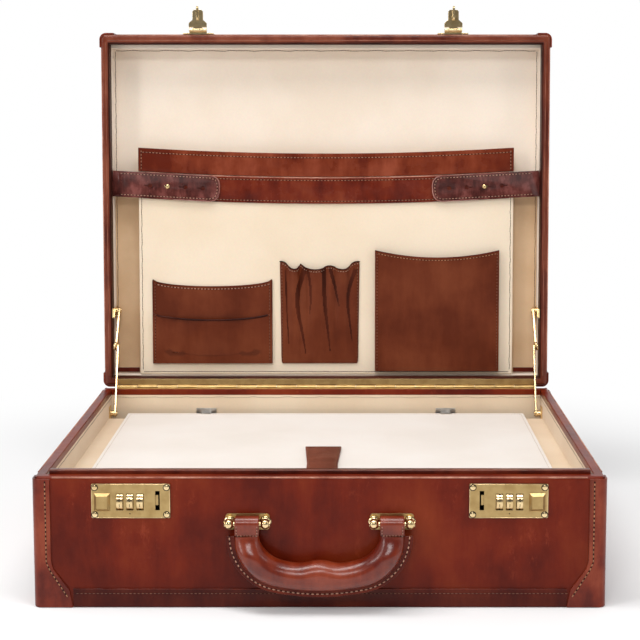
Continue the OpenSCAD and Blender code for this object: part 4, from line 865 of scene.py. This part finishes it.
post_places = [(x + d, front_y, pin_z) for x in bracket_xs for d in (-14.1, 14.1)]
finish_piece(set_out(posts, post_places), "base", bright_brass, "brass")
dressed("handle_pins", "handle_hinge_pins", 0.5, "base", bright_brass, "brass")
rivet_profile = [(-0.2, 0), (-0.2, 1.9), (0.9, 1.9), (1.2, 1.6), (1.5, 0.8), (1.6, 0)]
rivets = stand(turned_shape("handle_rivet_heads", rivet_profile, 14), to_front)
rivet_places = [(x + d, front_y, pin_z) for x in bracket_xs for d in (-7, 7)]
finish_piece(set_out(rivets, rivet_places), "base", bright_brass, "brass", "bracket_rivets")


# The grip is a padded roll of hide, fuller at the middle, drawn round a core and closed by a row of
# coarse stitches through the flat flange outside it.
handle_leather = leather("handle_leather", (0.10, 0.007, 0.001), (0.17, 0.018, 0.003), (0.25, 0.038, 0.012),
                         mottle=24, coat=0.9, grain=0.2, polish=0.24, waves=0.5, scuffed=0.3)
bend_x, bend_z, bend_radius = 26.4, 61.4, 30
bow_z, bow_radius = 188.7, 160
bow_angle = math.asin(bend_x / (bow_radius - bend_radius))
grip_y = -187.8


def grip_line(out, y):
    """The grip's curve in mm from its left end to its right one, out being how far outside its middle."""
    steps = 16
    first = bow_angle - math.pi / 2
    bend = [first - i / steps * first for i in range(steps + 1)]
    wide, long = bend_radius + out, bow_radius + out
    right = [(bend_x + wide * math.cos(a), y, bend_z + wide * math.sin(a)) for a in bend]
    bow = [(2 * i / steps - 1) * bow_angle - math.pi / 2 for i in range(1, steps)]
    middle = [(long * math.cos(a), y, bow_z + long * math.sin(a)) for a in bow]
    return [(-x, y, z) for x, y, z in reversed(right)] + middle + right


def eased(piece, test, change, value, reach, falloff="SMOOTH", **settings):
    """Moves or scales the points that pass the test, and with them, ever less, those within reach in mm."""
    pick(piece, "VERT", test)
    change(value=value, use_proportional_edit=True, proportional_edit_falloff=falloff,
           proportional_size=reach * mm, **settings)
    bpy.ops.object.mode_set(mode="OBJECT")


roll = round_bar("handle_roll", grip_line(0, grip_y), 11.2, 6)
eased(roll, lambda p: p.z > 61, bpy.ops.transform.resize, (1, 0.5, 1), 17,
      center_override=(0, -185.7 * mm, 0))
for x in bracket_xs:
    eased(roll, lambda p: p.z > 61 and p.x * x > 0, bpy.ops.transform.resize, (0.86, 1, 1), 15,
          center_override=(x * mm, 0, 0))
for x, grow in ((0, 2.4), (-21, -1.1), (21, -1.1)):
    eased(roll, lambda p: abs(p.x - x) < 3.5 and p.z > 32 and p.y < -181, bpy.ops.transform.translate,
          (0, 0, grow * mm), 15)
add_modifier(roll, "SUBSURF", levels=1, render_levels=1)
smooth(roll, 60)
finish_piece(roll, "handle", handle_leather, "leather_main", "handle_grip")


def sheet_between(name, one_edge, other_edge, cuts=0):
    """A sheet between two drawn lines, both given in mm."""
    other = drawn_edge("other", other_edge)
    sheet = drawn_edge(name, one_edge)
    other.select_set(True)
    bpy.ops.object.join()
    bpy.ops.object.mode_set(mode="EDIT")
    bpy.ops.mesh.select_mode(type="EDGE")
    bpy.ops.mesh.select_all(action="SELECT")
    bpy.ops.mesh.bridge_edge_loops(number_cuts=cuts, interpolation="LINEAR")
    bpy.ops.object.mode_set(mode="OBJECT")
    return sheet


flange = sheet_between("handle_flange", grip_line(9, grip_y), grip_line(16.2, grip_y))
in_edit(flange, face_outward)
add_modifier(flange, "SOLIDIFY", thickness=3.2 * mm, offset=0)
add_modifier(flange, "BEVEL", width=0.9 * mm, segments=2, limit_method="ANGLE", angle_limit=math.radians(50))
even_shading(flange, 45)
finish_piece(flange, "handle", dark_chestnut, "leather_main")
coarse_thread = thread_material("coarse_thread", (0.50, 0.26, 0.17))
sewn("handle_thread", [grip_line(13.4, y) for y in (-189.5, -186.1)], coarse_thread, "handle",
     "leather_strap", pitch=3.8, length=2.4, thick=1.25, deep=1.0)
dressed("handle_loops", "handle_loop_straps", 0.9, "handle", handle_leather, "leather_main")
loop_rows = [[(x + d, -190.0, 62.5), (x + d, -190.0, 68.5)] for x in bracket_xs for d in (-8, 8)]
loop_rows += [[(x - 8, -190.15, 61.9), (x + 8, -190.15, 61.9)] for x in bracket_xs]
sewn("handle_loop_thread", loop_rows, coarse_thread, "handle", "leather_strap",
     pitch=2.4, length=1.6, thick=0.6)


# A brass piano hinge runs along the back between the two rims. Its leaves of thin sheet are let into the
# leather of the base and of the lid.
dressed("hinge_base_leaf", "hinge_low_leaf", 0.15, "base", brass, "brass", 1)
dressed("hinge_lid_leaf", "hinge_high_leaf", 0.15, "lid", brass, "brass", 1)


# The lid is made as the base is: a cover of the same hide with bound edges and caps, a rounded rim
# with leather inside as far as the cream lining, and the lining itself, glued to the wood.
hinge_y, hinge_z = 177.5, 105.2
opening = 92


def open_lid(piece):
    """Swings a piece made on the shut lid open about the hinge. A positive angle turns clockwise."""
    in_edit(piece, (bpy.ops.transform.rotate, {
        "value": math.radians(opening), "orient_axis": "X", "orient_type": "GLOBAL",
        "center_override": (0, hinge_y * mm, hinge_z * mm)}))
    return piece


def recolour(piece, material, test):
    """Gives the faces that pass the test one more finish."""
    piece.data.materials.append(material)
    pick(piece, "FACE", test)
    piece.active_material_index = len(piece.data.materials) - 1
    bpy.ops.object.material_slot_assign()
    bpy.ops.object.mode_set(mode="OBJECT")


def inside_rim(c):
    """True for the leather that is turned into the lid past its rim."""
    return abs(c.x) < 217.6 and -168.7 < c.y < 170 and c.z > 105.6


lid_cover = turned_cover("lid_cover", 105.4, 139.9, 14, 3.6, 2.6)
rounded_edges(lid_cover, 2.2, lambda a, b: min(a.z, b.z) > 139.8)
give_thickness(lid_cover, hide_thick)
cut_away(lid_cover, ((-210.2, 169, 105), (210.2, 180, 106.2)))
finish_piece(lid_cover, "lid", chestnut, "leather_main", "lid_leather", "lid_rim")
# The leather turned into the lid past its rim is near black: its dark hide with the shade inside the lid's
# walls painted in.
dark_hide_and_shade = leather("dark_hide_and_shade", (0.025, 0.003, 0.001), (0.045, 0.006, 0.002), (0.07, 0.014, 0.006),
                    mottle=24, rough=0.5, coat=0.05)
rim_brown = leather("rim_brown", (0.075, 0.009, 0.003), (0.135, 0.024, 0.009), (0.20, 0.048, 0.022),
                    mottle=18, coat=0.4, polish=0.2)
recolour(lid_cover, dark_hide_and_shade, lambda c, n: inside_rim(c) and c.z < 121)
recolour(lid_cover, rim_brown, lambda c, n: c.z < 109 and n.z < -0.2 and not inside_rim(c))
open_lid(lid_cover)
even_shading(lid_cover)
# Pale beads along the lid rim's rounded outer edge and along the crease inside it are painted highlights.
burnished_edge(
    "lid_rim_edge",
    [run((-206, -175.0, 106.1), (206, -175.0, 106.1)),
     *on_both_sides(run((222.6, -162, 106.1), (222.6, 160, 106.1), 12))],
    0.6, edge_highlight, "lid", "leather_main", open_lid)
crease_highlight = leather("crease_highlight", (0.16, 0.04, 0.018), (0.24, 0.075, 0.04), (0.33, 0.12, 0.07),
                     mottle=40, coat=0.3)
burnished_edge(
    "lid_rim_crease_highlight",
    [run((-216.5, -169.9, 105.65), (216.5, -169.9, 105.65)),
     *on_both_sides(run((218.7, -168, 105.65), (218.7, 166, 105.65), 12))],
    0.5, crease_highlight, "lid", "leather_main", open_lid)
dressed("lid_edge_binding", "lid_binding", 0.3, "lid", dark_chestnut, "leather_dark")
dressed("lid_corner_caps", "lid_caps", 0.5, "lid", cap_leather, "leather_dark")
lid_seam_z = 131.6
lid_binding_rows = [run((-206, y, lid_seam_z), (206, y, lid_seam_z)) for y in (-binding_face, binding_face)]
lid_binding_rows += on_both_sides(run((binding_side, -160, lid_seam_z), (binding_side, 160, lid_seam_z)))
sewn("lid_binding_thread", lid_binding_rows, binding_brown, "lid", "leather_dark", open_lid, thick=0.6)


def above(s):
    """The shut lid's Y, in mm, of a point at height s above the hinge when the lid stands open."""
    return hinge_y - s


lid_cream = suede("lid_suede", (0.83, 0.70, 0.57), (0.86, 0.735, 0.61), (0.885, 0.765, 0.645))
dressed("lid_lining", "lid_lining_pad", 0.8, "lid", lid_cream, "suede_cream")
pad_z = 135.05
pad_rows = [run((-212, -161.3, pad_z), (212, -161.3, pad_z), 70, 0.5, 1)]
pad_rows += [run((x, -160, pad_z), (x, above(198), pad_z), 50, 0.3, 0) for x in (-213.4, 213.4)]
sewn("lid_lining_thread", pad_rows, seam_thread, "lid", "suede_cream", open_lid, thick=0.7)


# The hasps hang on riveted brass hinge plates on the lid's front wall. Two brass elbow stays hold the
# lid: a short arm on the base's wall and a slotted link on the lid's.
dressed("hasp_plates", "hasp_hinge_plates", 0.3, "lid", bright_brass, "brass")
dressed("hasp_rivets", "hasp_rivet_heads", 0.25, "lid", bright_brass, "brass")
for body in ("hasp_left", "hasp_right"):
    dressed(body, f"{body}_arm", 0.3, body, bright_brass, "brass")
dressed("stay_arms", "stay_arm_bars", 0.12, "stay_arms", bright_brass, "brass", 2)
dressed("stay_links", "stay_link_bars", 0.12, "stay_links", bright_brass, "brass", 2)
dressed("stay_base_brackets", "stay_brackets_low", 0.12, "base", bright_brass, "brass", 2)
dressed("stay_lid_brackets", "stay_brackets_high", 0.12, "lid", bright_brass, "brass", 2)


# The organiser is a suede covered board that tilts forward on soft gussets, coloured a darker tan
# as painted shade. Its edges are folded over and sewn. Flat tan sheets on the lid's lining beside it
# paint the shade that the board casts there.
panel_cloth = suede("panel_cloth", (0.80, 0.655, 0.485), (0.825, 0.685, 0.52), (0.85, 0.715, 0.555))
dressed("file_panel", "organiser_panel", 0.9, "file_panel", panel_cloth, "suede_cream")
panel_z, panel_foot = 122.35, above(13.2)
panel_rows = [run((x, above(16), panel_z), (x, above(212), panel_z), 60, 0.35, 0) for x in (-186.6, 186.6)]
for x0, x1 in ((-185.2, 0.5), (185.2, -0.5)):
    panel_rows.append(run((x0, panel_foot, panel_z), (x1, panel_foot, panel_z), 30, 0.2, 1))
sewn("organiser_edge_thread", panel_rows, seam_thread, "file_panel", "suede_cream", open_lid, thick=0.7)


shade_tan_suede = suede("shade_tan_suede", (0.50, 0.32, 0.18), (0.60, 0.40, 0.235), (0.68, 0.48, 0.30))
gussets = worked("panel_gussets", "organiser_gussets", 0.3)
colour_piece(gussets, shade_tan_suede, "suede_cream", "panel_gussets")
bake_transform(gussets)
shade_sheets = [block("shade_sheet", (x, above(196), 134.1), (x + 25.1, above(11), 135.0)) for x in (-214.9, 189.8)]
# Dark strips at the gussets' feet paint the shadow in the gap there.
foot_shades = [block("foot_shade", (x, above(15.8), 132.9), (x + 22.5, above(11.2), 134.1)) for x in (-214.2, 191.7)]
shade_sheet_pair = open_lid(softened(joined("organiser_gusset_shade_sheets", shade_sheets), 0.35, 2))
finish_piece(shade_sheet_pair, "lid", shade_tan_suede, "suede_cream")
foot_shade_pair = open_lid(softened(joined("organiser_gusset_foot_shades", foot_shades), 0.5))
finish_piece(foot_shade_pair, "lid", dark_chestnut, "leather_dark")
shade_sheet_rows = [run((x, above(16), 134.05), (x, above(195), 134.05), 40, 0.3, 0) for x in (-213.2, 213.2)]
sewn("organiser_gusset_thread", shade_sheet_rows, seam_thread, "lid", "suede_cream", open_lid, thick=0.7)


# A band of hide is folded over the organiser's sagging top edge. It is sewn through the board along its
# top and at both ends, in a light brown thread.
def sag(x, radius=3000):
    """How much higher than at its middle a sagging line is at x, in mm."""
    return radius - math.sqrt(radius * radius - x * x)


def sagging_run(s, level, half, steps=60):
    """A sagging line in mm at height s over the hinge and at a level in the shut lid."""
    xs = [-half + 2 * half * i / steps for i in range(steps + 1)]
    return [(x, above(s + sag(x)), level) for x in xs]


band_leather = leather("band_leather", (0.10, 0.011, 0.003), (0.165, 0.026, 0.008), (0.25, 0.052, 0.022),
                       mottle=20, rough=0.28, coat=0.25)
dressed("panel_band", "organiser_band", 0.5, "file_panel", band_leather, "leather_strap")
band_z = 120.7
band_rows = [sagging_run(230.9, band_z, 186)]
band_rows += on_both_sides(run((186.4, above(218.6), band_z), (186.4, above(236.2), band_z), 4))
band_thread = thread_material("band_thread", (0.36, 0.17, 0.09))
sewn("organiser_band_thread", band_rows, band_thread, "file_panel", "leather_strap", open_lid,
     pitch=3.4, thick=0.9)


# Three pockets of the same hide are sewn to the organiser. The card pocket has two tiers with dipped
# mouths, and the front tier stands a little off the back one.
pocket_leather = leather("pocket_leather", (0.095, 0.016, 0.004), (0.125, 0.024, 0.007),
                         (0.16, 0.036, 0.012), mottle=16, rough=0.4, coat=0.06, waves=0.6)
card_left, card_right, card_foot = -176, -55, 22
card_middle, card_half = (card_left + card_right) / 2, (card_right - card_left) / 2
back_mouth, front_mouth, card_dip = 108, 74, 7.5
gape, gape_reach = 3.0, 46


def pull(tier, s, move, reach, falloff, near):
    """Pulls the middle of a tier at height s by a move in mm, and what lies within reach with it."""
    eased(tier, lambda p: abs(p.x - card_middle) < near and abs(p.y - above(s)) < near,
          bpy.ops.transform.translate, [c * mm for c in move], reach, falloff)


def card_tier(name, mouth, held, level, thick, stands_off=False):
    """A tier of the card pocket, its mouth dipped. Below the held height it stays flat. All in mm."""
    bpy.ops.object.select_all(action="DESELECT")
    bpy.ops.mesh.primitive_grid_add(x_subdivisions=28, y_subdivisions=18, size=1)
    tier = bpy.context.object
    tier.name = name
    tier.scale = (2 * card_half * mm, (mouth - card_foot) * mm, 1)
    tier.location = (card_middle * mm, above((card_foot + mouth) / 2) * mm, level * mm)
    bpy.ops.object.transform_apply()
    in_edit(tier, (bpy.ops.mesh.flip_normals, {}))
    pick(tier, "FACE", lambda c, n: c.y > above(held))
    bpy.ops.mesh.hide(unselected=False)
    bpy.ops.object.mode_set(mode="OBJECT")
    pull(tier, mouth, (0, card_dip, 0), 60, "SPHERE", 3)
    if stands_off:
        pull(tier, mouth - card_dip, (0, 0, -gape), gape_reach, "SMOOTH", 4)
    only(tier)
    bpy.ops.object.mode_set(mode="EDIT")
    bpy.ops.mesh.reveal(select=False)
    bpy.ops.object.mode_set(mode="OBJECT")
    add_modifier(tier, "SOLIDIFY", thickness=thick * mm, offset=-1)
    return open_lid(softened(tier, 0.35, 2, 50))


def mouth_run(mouth, below, level):
    """A row of points in mm below a tier's mouth that dips as the mouth does."""
    points = []
    steps = 36
    for i in range(steps + 1):
        t = 0.93 * (2 * i / steps - 1)
        dip = card_dip * math.sqrt(1 - t * t)
        points.append((card_middle + card_half * t, above(mouth - below - dip), level))
    return points


card_back = card_tier("card_pocket_back_tier", back_mouth, 50, 120.9, 1.5)
finish_piece(card_back, "file_panel", pocket_leather, "leather_soft", "card_pocket")
card_front = card_tier("card_pocket_front_tier", front_mouth, 36, 119.3, 1.4, True)
finish_piece(card_front, "file_panel", pocket_leather, "leather_soft")
sewn("card_pocket_thread", [mouth_run(back_mouth, 2.6, 120.8)], coarse_thread, "file_panel", "leather_soft",
     open_lid, pitch=3.4, thick=0.9)
side_brown = thread_material("side_brown", (0.22, 0.08, 0.04))
card_sides = []
for low, high, level in ((25, 70, 119.2), (76, 104, 120.8)):
    for x in (-173.6, -57.4):
        card_sides.append(run((x, above(low), level), (x, above(high), level)))
sewn("card_pocket_side_thread", card_sides, side_brown, "file_panel", "leather_soft", open_lid, thick=0.6)
card_edges = [mouth_run(back_mouth, 0.2, 121.0)]
card_edges += [[(x, above(s), 120.9) for s in (22, 65, 107)] for x in (-175.9, -55.1)]
burnished_edge("card_pocket_edge", card_edges, 0.55, dark_chestnut, "file_panel", "leather_soft", open_lid)
# The thick near-black bead along the front tier's mouth paints the shadow in the gap between the tiers.
front_edge = []
for x, y, level in mouth_run(front_mouth, -0.2, 119.4):
    front_edge.append((x, y, level - gape * max(0, 1 - ((x - card_middle) / gape_reach) ** 2)))
burnished_edge("card_pocket_mouth_edge", [front_edge], 0.9, dark_hide_and_shade, "file_panel", "leather_soft",
               open_lid)


# The pen pocket is one wide piece gathered at the top into soft sleeves. Deep folds run down between
# them and die out towards its foot. Its top edge is given by x, height and how far it stands out.
top_fold = [(-47, 126, 1.0), (-45, 126.2, 2.2), (-42.5, 125.6, 2.6), (-40.5, 124.0, 2.2),
            (-38.6, 121.5, 0.9), (-36.5, 119.6, 4.2), (-32.5, 118.6, 6.2), (-29, 119.2, 5.4),
            (-27, 121.5, 1.0), (-25.8, 123.6, 1.2), (-23.5, 121.8, 3.9), (-21, 120.0, 4.5),
            (-18.4, 118.8, 0.9), (-16, 118.4, 4.8), (-11.5, 118.0, 6.5), (-7, 118.3, 6.2),
            (-3, 119.3, 4.8), (-0.6, 120.8, 0.9), (2.0, 121.8, 3.8), (5, 122.0, 5.0),
            (8, 121.0, 4.0), (10.2, 119.4, 0.9), (12.6, 118.8, 4.6), (17, 118.3, 6.3), (21.2, 119.0, 5.2),
            (24.2, 121.6, 0.9), (26.2, 124.4, 2.5), (29, 125.8, 2.9), (32, 126.2, 2.2), (34, 126, 1.0)]
deep_folds = {4: 0.75, 8: 0.8, 17: 0.85, 25: 0.75}
shallow_folds = (12, 21)
pen_middle, pen_level = -6.5, 122.4
pen_lines = [[(x, above(s), pen_level - depth) for x, s, depth in top_fold]]
for share, s in ((0.62, 95.0), (0.3, 62.0), (0.0, 22.0)):
    pen_line = []
    for i, (x, _, depth) in enumerate(top_fold):
        foot_depth = 1.0 if i in (0, len(top_fold) - 1) else 1.6
        kept = share
        if i in deep_folds:
            kept = min(1.0, share * 1.5) * deep_folds[i]
        elif i in shallow_folds:
            kept = share * 0.5
        drawn_in = pen_middle + (x - pen_middle) * (1 - 0.035 * (1 - share))
        pen_line.append((drawn_in, above(s), pen_level - (foot_depth + (depth - foot_depth) * kept)))
    pen_lines.append(pen_line)
spans = [sheet_between("pen_span", upper, lower, 3) for upper, lower in zip(pen_lines, pen_lines[1:])]
pen = joined("pen_pocket_leather", spans)
in_edit(pen, (bpy.ops.mesh.remove_doubles, {"threshold": 0.01 * mm}), face_outward)
if sum(f.normal.z for f in pen.data.polygons) > 0:
    in_edit(pen, (bpy.ops.mesh.flip_normals, {}))
add_modifier(pen, "SUBSURF", levels=2, render_levels=2)
add_modifier(pen, "SOLIDIFY", thickness=0.9 * mm, offset=-1)
smooth(pen, 60)
finish_piece(pen, "file_panel", pocket_leather, "leather_soft", "pen_pocket")

# The folds between the sleeves are darkened with painted shade.
fold_shade = leather("fold_shade", (0.04, 0.006, 0.001), (0.058, 0.009, 0.002), (0.08, 0.014, 0.004),
                   mottle=30, rough=0.45, coat=0.0)
folds = (
    (1.4, [(118, -41.2), (80, -40.2), (42, -38.1)]),
    (5.0, [(122, -20.8), (108, -25.2), (100, -27.6), (93, -28.8), (84, -29.2), (75, -28.6), (66, -26.9),
           (57, -24.9), (32, -20.8)]),
    (2.4, [(118, -18.9), (107, -16.8), (96, -15.7), (84, -15.7), (73, -16.5)]),
    (4.6, [(121, -2.2), (96, -2.0), (83, -1.3), (70, -0.1), (35, 4.0)]),
    (3.6, [(120, 4.0), (101, 8.8), (80, 13.1)]),
    (3.8, [(119, 30.0), (106, 25.4), (98, 23.2), (90, 22.2), (80, 22.2), (70, 23.2), (45, 26.3)]),
)


def in_fold(c):
    """True where painted shade darkens one of the pocket's folds. Each narrows towards its foot."""
    height = hinge_y - c.y
    for width, path in folds:
        top, foot = path[0][0], path[-1][0]
        for (s0, x0), (s1, x1) in zip(path, path[1:]):
            if s1 < height <= s0:
                middle = x0 + (x1 - x0) * (s0 - height) / (s0 - s1)
                if abs(c.x - middle) < width * ((height - foot) / (top - foot)) ** 0.6 / 2 + 0.25:
                    return True
    return False


recolour(pen, fold_shade, lambda c, n: in_fold(c))
open_lid(pen)
pen_row = [(x, above(s - 2.4), 122.3 - depth) for x, s, depth in top_fold[1:-1]]
sewn("pen_pocket_thread", [pen_row], coarse_thread, "file_panel", "leather_soft", open_lid,
     pitch=2.8, length=1.8, thick=0.7)
pen_sides = []
for foot_x, top_x in ((-44.6, -44.9), (31.6, 31.9)):
    pen_sides.append(run((foot_x, above(25), 120.75), (top_x, above(118), 120.2)))
sewn("pen_pocket_side_thread", pen_sides, side_brown, "file_panel", "leather_soft", open_lid, thick=0.6)
# The near-black bead along the pen pocket's top edge paints the shade in its mouth.
pen_edge = [(x, above(s - 0.2), 122.6 - depth) for x, s, depth in top_fold]
burnished_edge("pen_pocket_edge", [pen_edge], 0.6, dark_hide_and_shade, "file_panel", "leather_soft", open_lid)


# The large pocket is a flat front on a narrow gusset that runs round its sides and foot. Its mouth bows
# down between its corners.
large_middle, large_half, large_dip = 112.25, 62.75, 7.5


def bowed_run(s, level, share, steps):
    """A line in mm that bows as the mouth does, over a share of its width."""
    ts = [share * (2 * i / steps - 1) for i in range(steps + 1)]
    return [(large_middle + large_half * t, above(s - large_dip * (1 - t * t)), level) for t in ts]


dressed("large_pocket", "large_pocket_gusset", 0.4, "file_panel", pocket_leather, "leather_soft")
sewn("large_pocket_thread", [bowed_run(135, 115.3, 0.96, 40)], tan_thread, "file_panel", "leather_soft",
     open_lid, thick=0.7)
large_sides = [run((x, above(17), 115.3), (x, above(133), 115.3)) for x in (51.6, 172.9)]
sewn("large_pocket_side_thread", large_sides, side_brown, "file_panel", "leather_soft", open_lid, thick=0.6)
burnished_edge("large_pocket_edge", [bowed_run(137.4, 115.8, 1, 30)], 0.6, dark_chestnut, "file_panel",
               "leather_soft", open_lid)


# A strap of glossy hide holds papers to the organiser. Its middle is sewn along both edges, and its
# burgundy tabs run to the lid's walls, each held on a brass ball stud through one of four keyholes.
strap_hide = leather("strap_hide", (0.07, 0.005, 0.001), (0.13, 0.013, 0.003), (0.20, 0.033, 0.01),
                     mottle=20, rough=0.26, coat=0.4, scuffed=0.3)
dressed("strap_middle", "strap_middle_leather", 0.45, "file_panel", strap_hide, "leather_strap")
strap_rows = [sagging_run(s, 120.4, 176) for s in (187.0, 208.0)]
sewn("strap_middle_thread", strap_rows, band_thread, "file_panel", "leather_strap", open_lid,
     pitch=3.4, thick=0.85)
# The pale bead along the strap's top edge is a painted highlight.
burnished_edge("strap_edge", [sagging_run(210.5, 121.3, 184.5, 50)], 0.75, edge_highlight, "file_panel",
               "leather_strap", open_lid)

burgundy = leather("burgundy_hide", (0.045, 0.008, 0.006), (0.10, 0.022, 0.017), (0.19, 0.055, 0.046),
                   mottle=60, rough=0.24, coat=0.7, polish=0.14, waves=1.8, scuffed=0.6)
tab_edge_highlight = leather("tab_edge_highlight", (0.22, 0.07, 0.055), (0.34, 0.14, 0.11), (0.50, 0.26, 0.21),
                       mottle=45, rough=0.3, coat=0.4)
tab_wall_x, tab_long, tab_radius = 215.2, 108, 3036.1
tab_rise = sag(tab_wall_x, tab_radius) - sag(tab_wall_x - tab_long, tab_radius)
tab_slope = math.degrees(math.atan(tab_rise / tab_long))
tab_level = above(197.5 + sag(tab_wall_x, tab_radius))


def onto_tab(piece, side):
    """Carries a piece drawn from the wall end of a tab to its place across the open lid."""
    stand(piece, (0, 0, -tab_slope if side > 0 else 180 + tab_slope))
    open_lid(moved(piece, (side * tab_wall_x, tab_level, 0)))


def out_and_back(half, level):
    """A line in mm that runs out along one edge of a tab and back along the other."""
    back = [(x, -y) for x, y in reversed(half) if y]
    return [(x, y, level) for x, y in half + back]


keyhole_xs = [-38 - 17.7 * i for i in range(4)]
tab_seam = out_and_back([(-8, -10.6), (-98, -10.6), (-103.4, -9.0), (-105.4, -4.5), (-105.6, 0)], 118.5)
tab_rim = out_and_back(
    [(-62, -12.9), (-98.8, -12.9), (-103.4, -11.7), (-106.7, -8.4), (-107.9, -3.8)], 118.8)
for side, name in ((-1, "left"), (1, "right")):
    tab = block(f"strap_tab_{name}", (-tab_long, -13, 118.6), (0.2, 13, 120.2))
    rounded_edges(tab, 9.2, lambda a, b: abs(a.z - b.z) > 1 and max(a.x, b.x) < 1 - tab_long, 8)
    for x in keyhole_xs:
        bpy.ops.mesh.primitive_cylinder_add(vertices=20, radius=2.2 * mm, depth=6 * mm,
                                            location=(x * mm, 0, 119.4 * mm))
        cut_by(tab, bpy.context.object)
    cut_away(tab, *[((x + 1.5, -0.4, 117), (x + 6.5, 0.4, 122)) for x in keyhole_xs])
    softened(tab, 0.15, 2, 45)
    turn_down = block("turn_down", (-1.6, -13, 119.4), (0, 13, 125.2))
    tab = joined(f"strap_tab_{name}", [tab, softened(turn_down, 0.3, 2)])
    for x in range(-26, -2, 3):
        in_edit(tab, (bpy.ops.mesh.bisect, {"plane_co": (x * mm, 0, 0), "plane_no": (1, 0, 0)}))
    sewing = stitching(f"strap_tab_thread_{name}", [tab_seam], 3.3, 2.1, 0.85)
    # Near-black beads between its stitches paint the shade in the holes.
    holes = stitching(f"strap_tab_thread_{name}_holes", [tab_seam], 3.3, 1.5, 0.85, 0.25, 0.02)
    layers = ((tab, burgundy, "strap_tabs"), (sewing, coarse_thread), (holes, stitch_hole_shade))
    for piece, material, *nodes in layers:
        onto_tab(piece, side)
        colour_piece(piece, material, "leather_strap", *nodes)
        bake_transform(piece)
    # A pale bead round the end of each tab is a painted highlight.
    burnished_edge(f"strap_tab_edge_{name}", [tab_rim], 0.5, tab_edge_highlight, "file_panel", "leather_strap",
                   lambda piece: onto_tab(piece, side))

stud_profile = [(0, 0), (0, 3.6), (0.7, 3.4), (1.0, 2.2), (1.5, 1.5), (2.1, 1.5), (2.7, 2.2), (3.5, 2.55),
                (4.4, 2.4), (5.1, 1.7), (5.4, 0.8), (5.45, 0)]
stud = stand(turned_shape("strap_ball_studs", stud_profile), (0, 90, 0))
stud_way = -keyhole_xs[1]
stud_x = tab_wall_x - stud_way * math.cos(math.radians(tab_slope))
stud_y = tab_level + stud_way * math.sin(math.radians(tab_slope))
studs = open_lid(set_out(stud, [(side * stud_x, stud_y, 120.0) for side in (-1, 1)]))
finish_piece(studs, "file_panel", bright_brass, "brass", "strap_studs")
